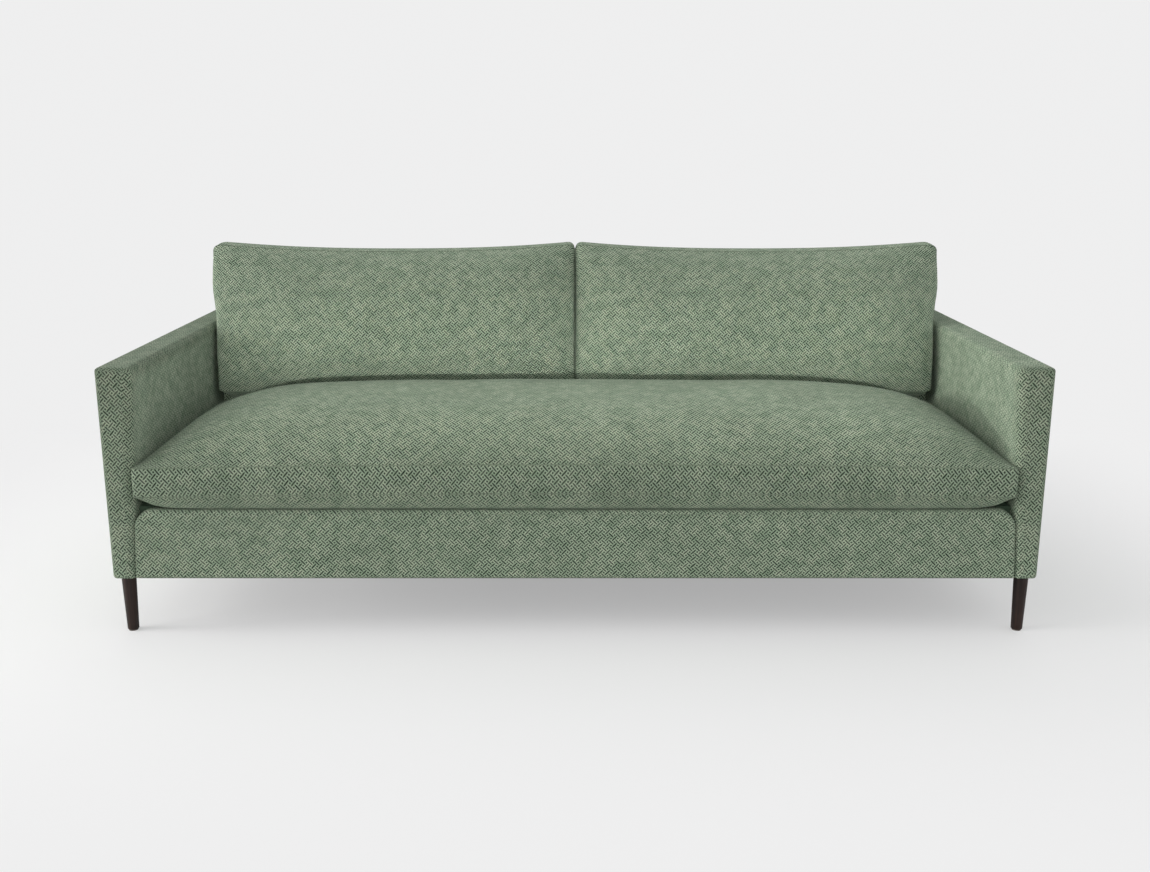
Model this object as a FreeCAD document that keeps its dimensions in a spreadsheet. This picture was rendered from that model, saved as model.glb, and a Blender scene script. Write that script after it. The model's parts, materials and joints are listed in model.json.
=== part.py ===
import FreeCAD, Part
import math
import os
import Sketcher

# A four-seater sofa, upholstered all round: two slim wedge arms, a boxed seat base with a raked
# back between them, one long seat cushion and two back cushions, on four tapered legs.
# Millimetres, +Z up, the front faces -Y. The origin is on the floor under the footprint's centre.
# Left and right are as seen by someone who stands in front of the sofa.

os.makedirs("parts", exist_ok=True)
doc = FreeCAD.newDocument("sofa")
sheet = doc.addObject("Spreadsheet::Sheet", "Sizes")
pieces = {}

# Driving dimensions, each the value of one cell of the sheet
sizes = {
    # Carcass
    "overall_width": 2200,  # outer face to outer face of the arms
    "carcass_depth": 975,  # front of the arms to the outside back
    "leg_height": 146,  # floor to the underside
    "arm_height": 654,  # floor to the top of the arms
    "arm_top_width": 85,  # width of an arm at its top
    "arm_foot_width": 53,  # width of an arm at the underside
    "deck_height": 315,  # floor to the deck that the seat cushion lies on
    "back_depth": 230,  # outside back to the inside back at the deck
    "back_rise": 121,  # top of the back above the arms
    "back_rake": 12,  # lean of the inside back in degrees
    "border_setback": 4,  # front border behind the front of the arms
    "border_corner": 42,  # radius of the front border's upper corners
    "back_corner": 10,  # radius of the back's upper corners
    "edge_radius": 8,  # radius of the arms' upholstered edges
    "front_edge_radius": 20,  # radius of the arms' inner front edges
    # Layers and timber
    "cover_thickness": 3,  # upholstery fabric with its lining
    "arm_padding": 9,  # padding of the arms, the front border and the top of the back
    "back_padding": 20,  # padding of the inside back, measured level
    "panel_thickness": 3,  # hardboard panels
    "board_thickness": 25,  # frame boards
    "side_panel_thickness": 22,  # plywood ends of the back frame
    "post_depth": 60,  # arm posts, front to back
    "arm_top_rail": 25,  # height of an arm's top rail
    "arm_foot_rail": 70,  # height of an arm's bottom rail
    "back_top_rail": 22,  # height of the back's top rail
    "liner_rail": 45,  # height of the rail at the foot of the inside back
    "cross_rail_height": 90,  # height of the seat's cross rails
    "corner_block_leg": 60,  # legs of the glued corner blocks
    "rear_rail_offset": 30,  # seat's rear rail behind the inside back's foot
    # Suspension and deck
    "webbing_thickness": 2.4,  # elastic webbing
    "webbing_width": 60,  # width of a webbing strap
    "webbing_gap": 68,  # gap between neighbouring straps
    "webbing_anchor": 22,  # length of a strap on its rail
    "deck_padding": 13,  # deck pad over the webbing
    "fit_gap": 0.3,  # clearance of soft layers that only lie together
    # Legs and fasteners
    "leg_top_diameter": 35,  # leg at the underside
    "leg_foot_diameter": 27,  # leg at the foot
    "leg_inset_side": 22,  # leg axis in from the outer face of the arm
    "leg_inset_front": 45,  # leg axis in from the front and from the rear
    "glide_diameter": 22,  # felt glide under a leg
    "glide_thickness": 3,  # felt glide under a leg
    "leg_bolt_diameter": 8,  # hanger bolt of a leg
    "leg_bolt_reach": 42,  # hanger bolt above the underside
    "leg_bolt_depth": 35,  # hanger bolt inside the leg
    "arm_bolt_diameter": 8,  # bolt between the seat base and an arm
    "arm_bolt_length": 58,  # bolt under its head
    "arm_bolt_head": 15,  # hexagonal head over its corners
    "arm_bolt_head_height": 5,  # height of the hexagonal head
    "arm_bolt_rise": 38,  # bolt axis above the underside
    "arm_bolt_first": 190,  # front bolt behind the front of the arms
    "arm_bolt_pitch": 460,  # front bolt to rear bolt
    "hole_play": 0.3,  # radial play of a bolt in its holes
    # Cushions
    "cushion_gap": 1,  # seat cushion clear of the arms and the back
    "cushion_overhang": 11,  # seat cushion before the front of the arms
    "seat_border": 70,  # height of the seat cushion's boxed border
    "seat_under_bulge": 45,  # deck to the border's lower seam
    "seat_crown": 120,  # border's upper seam to the crown
    "seat_seam_droop": 10,  # fall of both seams from the middle to the corners
    "seat_core_height": 90,  # foam core of the seat cushion
    "core_margin": 70,  # feather jacket round a foam core
    "back_cushion_rise": 101,  # upper corners of the back cushions above the back
    "back_cushion_dip": 20,  # fall of the top edge at a back cushion's middle
    "back_cushion_border": 115,  # boxed border of a back cushion, measured level
    "back_cushion_crown": 108,  # belly of a back cushion before its seams
    "back_cushion_side_gap": 4,  # back cushion clear of the arm's upper edge
    "back_cushion_split": 2.4,  # gap between the two back cushions
    "back_cushion_flare": 7,  # outward lean of a back cushion's outer end
    "back_cushion_corner": 26,  # radius of a back cushion's corners
    "back_core_thickness": 60,  # foam core of a back cushion
    "rest_gap": 0.5,  # back cushion clear of the seat cushion and the back
}
for row, (alias, number) in enumerate(sizes.items(), start=1):
    sheet.set("A%d" % row, alias.replace("_", " "))
    sheet.set("B%d" % row, str(number))
    sheet.setAlias("B%d" % row, alias)
doc.recompute()


def value(expression):
    """The number that an expression gives with the sheet's present sizes."""
    return float(sheet.evalExpression(expression))


# Planes and outlines that several pieces share, as expressions of the sheet
half_width = "(Sizes.overall_width / 2)"
front = "((Sizes.cushion_overhang - Sizes.carcass_depth) / 2)"
rear = "((Sizes.cushion_overhang + Sizes.carcass_depth) / 2)"
cover = "Sizes.cover_thickness"
lined = "(Sizes.cover_thickness + Sizes.arm_padding)"
boarded = "(%s + Sizes.panel_thickness)" % lined
floor_of_frame = "(Sizes.leg_height + Sizes.cover_thickness)"
rails_top = (
    "(Sizes.deck_height - Sizes.cover_thickness - Sizes.deck_padding"
    " - 2 * Sizes.webbing_thickness - Sizes.fit_gap)"
)
seat_depth = "(Sizes.carcass_depth - Sizes.back_depth)"
back_height = "(Sizes.arm_height + Sizes.back_rise)"
back_cushion_top = "(%s + Sizes.back_cushion_rise)" % back_height
back_foot = "(%s + 2 * Sizes.webbing_thickness + 4 * Sizes.fit_gap)" % rails_top
back_lining = "(Sizes.cover_thickness + Sizes.back_padding)"
back_frame_front = "(%s + Sizes.webbing_thickness)" % back_lining
back_frame_top = "(%s - %s)" % (back_height, lined)
back_frame_rear = "(%s - Sizes.cover_thickness - Sizes.panel_thickness)" % rear
strap_pitch = "(Sizes.webbing_width + Sizes.webbing_gap)"
# A strap lies on the middle plane, so a cross rail stands halfway between the second and the third
cross_rail_place = "(2.5 * %s)" % strap_pitch
sides = {"left": -1, "right": 1}


def inner_face(level, inset="0"):
    """Distance of an arm's leaning inner face from the middle plane at a level, less an inset."""
    climb = "(%s - Sizes.leg_height) / (Sizes.arm_height - Sizes.leg_height)" % level
    taper = "(Sizes.arm_top_width - Sizes.arm_foot_width) * %s" % climb
    return "(%s - Sizes.arm_foot_width - %s - (%s))" % (half_width, taper, inset)


def inside_back(level, behind="0"):
    """Y of the raked inside back at a level, moved back by an amount."""
    rake = "(%s - Sizes.deck_height) * tan(Sizes.back_rake)" % level
    return "(%s + %s + %s + (%s))" % (front, seat_depth, rake, behind)


def origin_plane(body, role):
    """The body's own origin plane with the given role."""
    return next(feature for feature in body.Origin.OriginFeatures if feature.Role == role)


def outline_sketch(body, role, points, start):
    """A closed outline on an origin plane, each corner held by two expressions."""
    sketch = body.newObject("Sketcher::SketchObject", "outline")
    sketch.AttachmentSupport = [(origin_plane(body, role), "")]
    sketch.MapMode = "FlatFace"
    sketch.setExpression("AttachmentOffset.Base.z", start)
    spots = [FreeCAD.Vector(value(across), value(up), 0) for across, up in points]
    count = len(points)
    for index in range(count):
        edge = Part.LineSegment(spots[index], spots[(index + 1) % count])
        sketch.addGeometry(edge, False)
    for index in range(count):
        following = (index + 1) % count
        sketch.addConstraint(Sketcher.Constraint("Coincident", index, 2, following, 1))
    for index in range(count):
        across, up = points[index]
        if across == "0":
            sketch.addConstraint(Sketcher.Constraint("PointOnObject", index, 1, -2))
        else:
            rule = Sketcher.Constraint("DistanceX", -1, 1, index, 1, spots[index].x)
            number = sketch.addConstraint(rule)
            sketch.setExpression("Constraints[%d]" % number, across)
        rule = Sketcher.Constraint("DistanceY", -1, 1, index, 1, spots[index].y)
        number = sketch.addConstraint(rule)
        sketch.setExpression("Constraints[%d]" % number, up)
    return sketch


def prism(label, role, points, start, length):
    """A straight prism on an outline, from start for length along the plane's own axis."""
    body = doc.addObject("PartDesign::Body", "body")
    body.Label = label
    facing_back = role == "XZ_Plane"
    offset = "-(%s)" % start if facing_back else start
    sketch = outline_sketch(body, role, points, offset)
    pad = body.newObject("PartDesign::Pad", "pad")
    pad.Profile = sketch
    pad.Reversed = facing_back
    pad.setExpression("Length", length)
    doc.recompute()
    return body


def rounded(body, radius, wanted):
    """Round the edges of the body's last feature that a test picks."""
    base = body.Tip
    names = []
    for number, edge in enumerate(base.Shape.Edges, start=1):
        if wanted(edge):
            names.append("Edge%d" % number)
    fillet = body.newObject("PartDesign::Fillet", "fillet")
    fillet.Base = (base, names)
    fillet.setExpression("Radius", radius)
    doc.recompute()
    return body


def runs_back_at(level):
    """A test for edges that run front to back at a level."""
    height = value(level)

    def test(edge):
        box = edge.BoundBox
        return box.YLength > 1 and abs(box.ZMin - height) < 0.01 and abs(box.ZMax - height) < 0.01

    return test


def block(label, low, lengths):
    """A box from its low corner and its three lengths, all expressions."""
    box = doc.addObject("Part::Box", "block")
    box.Label = label
    for axis, expression in zip("xyz", low):
        box.setExpression("Placement.Base." + axis, expression)
    for side, expression in zip(("Length", "Width", "Height"), lengths):
        box.setExpression(side, expression)
    return box


def rod(label, place, radius, length):
    """An upright cylinder from its foot's centre."""
    cylinder = doc.addObject("Part::Cylinder", "rod")
    cylinder.Label = label
    for axis, expression in zip("xyz", place):
        cylinder.setExpression("Placement.Base." + axis, expression)
    cylinder.setExpression("Radius", radius)
    cylinder.setExpression("Height", length)
    return cylinder


def hexagon(label, place, radius, length):
    """An upright hexagonal prism from its foot's centre; the radius is to its corners."""
    prismatic = doc.addObject("Part::Prism", "hexagon")
    prismatic.Label = label
    prismatic.Polygon = 6
    for axis, expression in zip("xyz", place):
        prismatic.setExpression("Placement.Base." + axis, expression)
    prismatic.setExpression("Circumradius", radius)
    prismatic.setExpression("Height", length)
    return prismatic


def combine(kind, label, base, tool):
    """Part::Cut, Part::Common or Part::Fuse of two objects."""
    result = doc.addObject("Part::" + kind, kind.lower())
    result.Label = label
    result.Base = base
    result.Tool = tool
    return result


def group(label, members):
    """Separate solids that share one node or cut together."""
    bundle = doc.addObject("Part::Compound", "bundle")
    bundle.Label = label
    bundle.Links = members
    return bundle


def keep(node, shaped):
    """Register a finished piece under its node's name."""
    shaped.Label = node
    pieces[node] = shaped


# Fasteners come first, because the holes of other pieces are cut round them

def leg_axis(side, end):
    """X and Y of a leg's axis."""
    across = "(%d * (%s - Sizes.leg_inset_side))" % (sides[side], half_width)
    along = "(%s + Sizes.leg_inset_front)" % front
    if end == "rear":
        along = "(%s - Sizes.leg_inset_front)" % rear
    return across, along


corners = [(end, side) for end in ("front", "rear") for side in sides]
lean = "atan((Sizes.arm_top_width - Sizes.arm_foot_width) / (Sizes.arm_height - Sizes.leg_height))"


def tilted(member, side):
    """Turn an upright rod so that it points through the arm's inner face."""
    member.Placement = FreeCAD.Placement(
        member.Placement.Base, FreeCAD.Rotation(FreeCAD.Vector(0, sides[side], 0), 90)
    )
    member.setExpression("Placement.Rotation.Angle", "90 * 1 deg - %s" % lean)
    return member


def arm_bolt_row(form, side, radius, length, from_face, name):
    """Two forms, rods or hexagons, through the seat's side rail, square to the arm's leaning face."""
    level = "(Sizes.leg_height + Sizes.arm_bolt_rise + %s * sin(%s))" % (from_face, lean)
    root = inner_face("(Sizes.leg_height + Sizes.arm_bolt_rise)")
    across = "(%d * (%s + %s * cos(%s)))" % (sides[side], root, from_face, lean)
    row = []
    front_bolt = "(%s + Sizes.arm_bolt_first)" % front
    for along in (front_bolt, "(%s + Sizes.arm_bolt_pitch)" % front_bolt):
        row.append(tilted(form(name, (across, along, level), radius, length), side))
    return row


seat_side = "(Sizes.board_thickness * cos(%s))" % lean
bolt_radius = "(Sizes.arm_bolt_diameter / 2)"
arm_bolts = []
arm_bolt_holes = {}
for side in sides:
    shanks = arm_bolt_row(
        rod, side, bolt_radius, "Sizes.arm_bolt_length", "(-%s)" % seat_side, "bolt shank"
    )
    heads = arm_bolt_row(
        hexagon,
        side,
        "(Sizes.arm_bolt_head / 2)",
        "Sizes.arm_bolt_head_height",
        "(-%s - Sizes.arm_bolt_head_height)" % seat_side,
        "bolt head",
    )
    arm_bolts += [combine("Fuse", "arm bolt", *pair) for pair in zip(shanks, heads)]
    arm_bolt_holes[side] = group(
        "arm bolt holes " + side,
        arm_bolt_row(
            rod,
            side,
            "(%s + Sizes.hole_play)" % bolt_radius,
            "(Sizes.arm_bolt_length + Sizes.hole_play)",
            "(-%s)" % seat_side,
            "bolt hole",
        ),
    )
keep("arm_bolts", group("arm_bolts", arm_bolts))

leg_bolt_foot = "(Sizes.leg_height - Sizes.leg_bolt_depth)"
leg_bolts = []
glides = []
leg_holes = {"left": [], "right": []}
for end, side in corners:
    across, along = leg_axis(side, end)
    bolt = rod(
        "leg bolt",
        (across, along, leg_bolt_foot),
        "Sizes.leg_bolt_diameter / 2",
        "Sizes.leg_bolt_depth + Sizes.leg_bolt_reach",
    )
    leg_bolts.append(bolt)
    bolt_hole = rod(
        "leg bolt hole",
        (across, along, "Sizes.leg_height - Sizes.hole_play"),
        "Sizes.leg_bolt_diameter / 2 + Sizes.hole_play",
        "Sizes.leg_bolt_reach + 2 * Sizes.hole_play",
    )
    leg_holes[side].append(bolt_hole)
    glides.append(
        rod("glide", (across, along, "0"), "Sizes.glide_diameter / 2", "Sizes.glide_thickness")
    )
keep("leg_bolts", group("leg_bolts", leg_bolts))
keep("foot_glides", group("foot_glides", glides))
bolt_holes = {
    side: group("bolt holes " + side, leg_holes[side] + [arm_bolt_holes[side]]) for side in sides
}


# Legs: turned and tapered, with a blind bore for the hanger bolt

def leg(side, end):
    """One leg, revolved about its own axis and set under its corner."""
    body = doc.addObject("PartDesign::Body", "body")
    body.Label = "leg"
    bore_radius = "(Sizes.leg_bolt_diameter / 2 + Sizes.hole_play / 2)"
    bore_end = "(%s - Sizes.hole_play)" % leg_bolt_foot
    profile = [
        ("0", "Sizes.glide_thickness"),
        ("Sizes.leg_foot_diameter / 2", "Sizes.glide_thickness"),
        ("Sizes.leg_top_diameter / 2", "Sizes.leg_height"),
        (bore_radius, "Sizes.leg_height"),
        (bore_radius, bore_end),
        ("0", bore_end),
    ]
    sketch = outline_sketch(body, "XZ_Plane", profile, "0")
    turned = body.newObject("PartDesign::Revolution", "turned")
    turned.Profile = sketch
    turned.ReferenceAxis = (sketch, ["V_Axis"])
    turned.Angle = 360
    across, along = leg_axis(side, end)
    body.setExpression("Placement.Base.x", across)
    body.setExpression("Placement.Base.y", along)
    return body


for end in ("front", "rear"):
    keep("legs_" + end, group("legs_" + end, [leg(side, end) for side in sides]))


# Arms: a timber frame with hardboard sides, a padding wrap and a closed fabric cover

def arm_outline(side, low, high, outer_skin, inner_skin):
    """Front outline of an arm between two levels, inside skins of the given thicknesses."""
    sign = sides[side]
    outer = "%d * (%s - %s)" % (sign, half_width, outer_skin)
    low_inner = "%d * (%s + %s)" % (sign, inner_face(low), inner_skin)
    high_inner = "%d * (%s + %s)" % (sign, inner_face(high), inner_skin)
    return [(outer, low), (outer, high), (high_inner, high), (low_inner, low)]


def arm_solid(label, side, low, high, skins, ahead, behind):
    """An arm-shaped prism between two levels and two insets from the front and the rear."""
    start = "(%s + %s)" % (front, ahead)
    length = "(Sizes.carcass_depth - %s - %s)" % (ahead, behind)
    return prism(label, "XZ_Plane", arm_outline(side, low, high, *skins), start, length)


def inner_front_edge(edge):
    """The upright edge of an arm's front that faces the cushions."""
    box = edge.BoundBox
    half = value(half_width)
    upright = box.YLength < 0.01 and box.ZLength > 100
    return upright and box.YMin < 0 and min(half - box.XMax, half + box.XMin) > 10


def arm_edges(edge):
    """The arm's outer and upper front edges, its two top edges and its lower outer edge."""
    box = edge.BoundBox
    raised = box.ZMax > value("Sizes.leg_height") + 1
    at_front = raised and box.YLength < 0.01 and abs(box.YMin - value(front)) < 0.01
    along = box.YLength > 1
    top = abs(box.ZMax - value("Sizes.arm_height")) < 0.01
    outer = abs(abs(box.XMax) - value(half_width)) < 0.01 or (
        abs(abs(box.XMin) - value(half_width)) < 0.01
    )
    return at_front or (along and (top or outer))


arm_frame_top = "(Sizes.arm_height - %s)" % lined
arm_rail_foot = "(%s - Sizes.arm_top_rail)" % arm_frame_top
arm_rail_head = "(%s + Sizes.arm_foot_rail)" % floor_of_frame


def arm_board(side, low, high, ahead, behind):
    """A timber member that fills the arm's frame between two levels."""
    return arm_solid("arm board", side, low, high, (boarded, boarded), ahead, behind)


def arm(side):
    """All the pieces of one arm."""
    sign = sides[side]
    bare = ("0", "0")
    outer = arm_solid("arm form", side, "Sizes.leg_height", "Sizes.arm_height", bare, "0", "0")
    outer = rounded(outer, "Sizes.front_edge_radius", inner_front_edge)
    outer = rounded(outer, "Sizes.edge_radius", arm_edges)
    hollow_top = "(Sizes.arm_height - %s)" % cover
    hollow_radius = "Sizes.front_edge_radius - %s" % cover
    covered = (cover, cover)
    hollow = arm_solid("arm hollow", side, floor_of_frame, hollow_top, covered, cover, cover)
    hollow = rounded(hollow, hollow_radius, inner_front_edge)
    shell = combine("Cut", "arm shell", outer, hollow)
    keep("arm_cover_" + side, combine("Cut", "arm cover", shell, bolt_holes[side]))

    # The bottom rail lies bare under the cover, because the seat base is bolted to it there
    foot_rail = arm_solid(
        "arm bottom rail",
        side,
        floor_of_frame,
        arm_rail_head,
        (boarded, cover),
        "Sizes.front_edge_radius",
        cover,
    )
    keep("arm_bottom_rail_" + side, combine("Cut", "arm foot rail", foot_rail, bolt_holes[side]))

    wrap = arm_solid("arm wrap", side, floor_of_frame, hollow_top, covered, cover, cover)
    wrap = rounded(wrap, hollow_radius, inner_front_edge)
    room = arm_solid(
        "arm room", side, "Sizes.leg_height", arm_frame_top, (lined, lined), lined, "0"
    )
    wrap = combine("Cut", "arm wrap open", wrap, room)
    keep("arm_padding_" + side, combine("Cut", "arm padding", wrap, foot_rail))

    panel_length = "(Sizes.carcass_depth - %s - %s)" % (lined, cover)
    panel_height = "(%s - %s)" % (arm_frame_top, floor_of_frame)
    outer_plane = "(%s - %s)" % (half_width, lined)
    low_x = "(%s - Sizes.panel_thickness)" % outer_plane if sign > 0 else "(-%s)" % outer_plane
    keep(
        "arm_outer_panel_" + side,
        block(
            "arm outer panel",
            (low_x, "(%s + %s)" % (front, lined), floor_of_frame),
            ("Sizes.panel_thickness", panel_length, panel_height),
        ),
    )
    sheet_outline = [
        ("%d * (%s + %s)" % (sign, inner_face(arm_rail_head), lined), arm_rail_head),
        ("%d * (%s + %s)" % (sign, inner_face(arm_rail_head), boarded), arm_rail_head),
        ("%d * (%s + %s)" % (sign, inner_face(arm_frame_top), boarded), arm_frame_top),
        ("%d * (%s + %s)" % (sign, inner_face(arm_frame_top), lined), arm_frame_top),
    ]
    keep(
        "arm_inner_panel_" + side,
        prism("arm inner panel", "XZ_Plane", sheet_outline, "(%s + %s)" % (front, lined), panel_length),
    )

    before_rear_post = "(Sizes.carcass_depth - %s - Sizes.post_depth)" % cover
    behind_front_post = "(Sizes.carcass_depth - %s - Sizes.post_depth)" % lined
    middle = "((Sizes.carcass_depth - Sizes.post_depth) / 2)"
    for place, ahead, behind in (
        ("front", lined, behind_front_post),
        ("middle", middle, middle),
        ("rear", before_rear_post, cover),
    ):
        keep(
            "arm_%s_post_%s" % (place, side),
            arm_board(side, arm_rail_head, arm_rail_foot, ahead, behind),
        )
    keep(
        "arm_top_rail_" + side,
        arm_board(side, arm_rail_foot, arm_frame_top, lined, cover),
    )


for side in sides:
    arm(side)


# Seat base: front border, rails, corner blocks, interlaced webbing, deck

def across_outline(low, high, inset):
    """A front outline from arm to arm between two levels, inset at both ends."""
    wide = inner_face(low, inset)
    narrow = inner_face(high, inset)
    return [("-" + wide, low), (wide, low), (narrow, high), ("-" + narrow, high)]


def across_prism(label, low, high, inset, start, length):
    """A prism from arm to arm between two levels."""
    return prism(label, "XZ_Plane", across_outline(low, high, inset), start, length)


def seat_border_form(label, low, high, skin, start, length, radius):
    """A front board shape with rounded upper corners, inside a skin."""
    body = across_prism(label, low, high, skin, start, length)
    return rounded(body, radius, runs_back_at(high))


border_front = "(%s + Sizes.border_setback)" % front
front_rail_face = "(%s + %s)" % (border_front, lined)
front_rail_back = "(%s + Sizes.board_thickness)" % front_rail_face
cap_depth = "(%s + Sizes.board_thickness)" % lined
deck_lining = "(Sizes.deck_height - %s)" % cover
strap_room = "(%s + Sizes.webbing_thickness + 2 * Sizes.fit_gap)" % rails_top

cap = seat_border_form(
    "border cap",
    "Sizes.leg_height",
    "Sizes.deck_height",
    "0",
    border_front,
    cap_depth,
    "Sizes.border_corner",
)
cap_room = seat_border_form(
    "border room",
    "(Sizes.leg_height - %s)" % cover,
    deck_lining,
    cover,
    "(%s + %s)" % (border_front, cover),
    cap_depth,
    "Sizes.border_corner - %s" % cover,
)
keep("front_border_cover", combine("Cut", "front border cover", cap, cap_room))

roll = seat_border_form(
    "edge roll",
    floor_of_frame,
    deck_lining,
    cover,
    "(%s + %s)" % (border_front, cover),
    "(%s - %s)" % (cap_depth, cover),
    "Sizes.border_corner - %s" % cover,
)
roll_room = seat_border_form(
    "rail room",
    "Sizes.leg_height",
    strap_room,
    lined,
    front_rail_face,
    cap_depth,
    "Sizes.border_corner - %s" % lined,
)
keep("front_border_padding", combine("Cut", "front border padding", roll, roll_room))
keep(
    "front_rail",
    seat_border_form(
        "front rail",
        floor_of_frame,
        rails_top,
        lined,
        front_rail_face,
        "Sizes.board_thickness",
        "Sizes.border_corner - %s" % lined,
    ),
)

side_rail_length = "(%s - %s)" % (back_frame_rear, front_rail_back)
for side, sign in sides.items():
    rail_outline = [
        ("%d * %s" % (sign, inner_face(floor_of_frame)), floor_of_frame),
        ("%d * %s" % (sign, inner_face(rails_top)), rails_top),
        ("%d * %s" % (sign, inner_face(rails_top, "Sizes.board_thickness")), rails_top),
        ("%d * %s" % (sign, inner_face(floor_of_frame, "Sizes.board_thickness")), floor_of_frame),
    ]
    rail = prism("side rail", "XZ_Plane", rail_outline, front_rail_back, side_rail_length)
    keep("side_rail_" + side, combine("Cut", "side rail", rail, arm_bolt_holes[side]))

seat_rear_rail_face = "(%s + %s + Sizes.rear_rail_offset)" % (front, seat_depth)
for node, start in (
    ("seat_rear_rail", seat_rear_rail_face),
    ("back_bottom_rail", "(%s - Sizes.board_thickness)" % back_frame_rear),
):
    keep(
        node,
        across_prism(
            node, floor_of_frame, rails_top, "Sizes.board_thickness", start, "Sizes.board_thickness"
        ),
    )

cross_length = "(%s - %s)" % (seat_rear_rail_face, front_rail_back)
for side, sign in sides.items():
    centre = "%d * %s" % (sign, cross_rail_place)
    keep(
        "seat_cross_rail_" + side,
        block(
            "seat cross rail",
            (centre + " - Sizes.board_thickness / 2", front_rail_back, floor_of_frame),
            ("Sizes.board_thickness", cross_length, "Sizes.cross_rail_height"),
        ),
    )

block_top = "(%s + Sizes.cross_rail_height)" % floor_of_frame
blocks = []
block_region = across_prism(
    "room between the side rails",
    floor_of_frame,
    block_top,
    "Sizes.board_thickness",
    front_rail_back,
    cross_length,
)
for end, sign_y, corner_y in (("front", 1, front_rail_back), ("rear", -1, seat_rear_rail_face)):
    for side, sign in sides.items():
        wall = "(%d * %s)" % (sign, inner_face(floor_of_frame, "Sizes.board_thickness"))
        triangle = [
            (wall, corner_y),
            ("%s - %d * Sizes.corner_block_leg" % (wall, sign), corner_y),
            (wall, "%s + %d * Sizes.corner_block_leg" % (corner_y, sign_y)),
        ]
        wedge = prism(
            "corner wedge", "XY_Plane", triangle, floor_of_frame, "Sizes.cross_rail_height"
        )
        blocks.append(combine("Common", "corner block", wedge, block_region))
keep("corner_blocks", group("corner_blocks", blocks))

# Seat webbing: straps across lie flat, straps front to back weave over and under them
pitch = value(strap_pitch)
strap_width = value("Sizes.webbing_width")
seat_clear = value(cross_length)
straps_across = int((seat_clear - value("Sizes.webbing_gap")) // pitch)
first_across = "(%s + (%s - %d * %s + Sizes.webbing_gap) / 2)" % (
    front_rail_back,
    cross_length,
    straps_across,
    strap_pitch,
)
across_half = inner_face(rails_top, "Sizes.fit_gap")
keep(
    "seat_webbing_across",
    group(
        "seat_webbing_across",
        [
            block(
                "strap across",
                ("-" + across_half, "%s + %d * %s" % (first_across, number, strap_pitch), rails_top),
                ("2 * " + across_half, "Sizes.webbing_width", "Sizes.webbing_thickness"),
            )
            for number in range(straps_across)
        ],
    ),
)


def woven_profile(first_over):
    """Side outline of a strap that passes over and under the straps across in turn."""
    path = [
        ("%s - Sizes.webbing_anchor" % front_rail_back, 0),
        (front_rail_back, 0),
    ]
    for number in range(straps_across):
        direction = 1 if (number % 2 == 0) == first_over else -1
        low_edge = "%s + %d * %s" % (first_across, number, strap_pitch)
        path.append((low_edge, direction))
        path.append(("%s + Sizes.webbing_width" % low_edge, direction))
    path.append((seat_rear_rail_face, 0))
    path.append(("%s + Sizes.webbing_anchor" % seat_rear_rail_face, 0))
    under = [
        (along, "%s + %d * Sizes.webbing_thickness" % (rails_top, step)) for along, step in path
    ]
    over = [
        (along, "%s + %d * Sizes.webbing_thickness" % (rails_top, step + 1))
        for along, step in reversed(path)
    ]
    return under + over


flat_half = value(inner_face(rails_top, "%s + Sizes.border_corner" % cover))
straps_each_side = int((flat_half - strap_width / 2) // pitch)
straps = []
for number in range(-straps_each_side, straps_each_side + 1):
    place = "(%d * %s - Sizes.webbing_width / 2)" % (number, strap_pitch)
    profile = woven_profile(number % 2 == 0)
    straps.append(prism("strap", "YZ_Plane", profile, place, "Sizes.webbing_width"))
keep("seat_webbing_lengthwise", group("seat_webbing_lengthwise", straps))

pad_foot = "(%s - Sizes.deck_padding)" % deck_lining
deck_end = "(%s - %s)" % (inside_back(pad_foot), front_rail_back)
keep(
    "deck_padding",
    across_prism("deck padding", pad_foot, deck_lining, "0", front_rail_back, deck_end),
)
keep(
    "deck_cloth",
    across_prism("deck cloth", deck_lining, "Sizes.deck_height", "0", front_rail_back, deck_end),
)

dust_half = inner_face(floor_of_frame, "%s + Sizes.fit_gap" % cover)
keep(
    "dust_cover",
    block(
        "dust cover",
        ("-" + dust_half, "%s + %s" % (border_front, cover), "Sizes.leg_height"),
        ("2 * " + dust_half, "%s - %s - 2 * %s" % (rear, border_front, cover), cover),
    ),
)


# Back: raked plywood ends, rails and uprights, webbing, padding and a two-piece cover

back_half = inner_face("Sizes.arm_height")


def back_outline(low, high, inset):
    """Front outline of the back: it leans with the arms, then rises straight above them."""
    wide = inner_face(low, inset)
    narrow = inner_face("Sizes.arm_height", inset)
    return [
        ("-" + wide, low),
        (wide, low),
        (narrow, "Sizes.arm_height"),
        (narrow, high),
        ("-" + narrow, high),
        ("-" + narrow, "Sizes.arm_height"),
    ]


def back_form(label, low, high, inset, start, length, radius):
    """The back's outline as a prism with rounded upper corners."""
    body = prism(label, "XZ_Plane", back_outline(low, high, inset), start, length)
    return rounded(body, radius, runs_back_at(high))


def back_profile(label, low, high, behind, end):
    """The back's side profile: raked in front, upright behind, as wide as the sofa."""
    points = [
        (inside_back(low, behind), low),
        (inside_back(high, behind), high),
        (end, high),
        (end, low),
    ]
    return prism(label, "YZ_Plane", points, "-" + half_width, "Sizes.overall_width")


whole_depth = "(Sizes.carcass_depth)"
cover_rear = "(%s - %s)" % (rear, cover)
lining_top = "(%s - %s)" % (back_height, cover)
inner_corner = "Sizes.back_corner - %s" % cover

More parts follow.
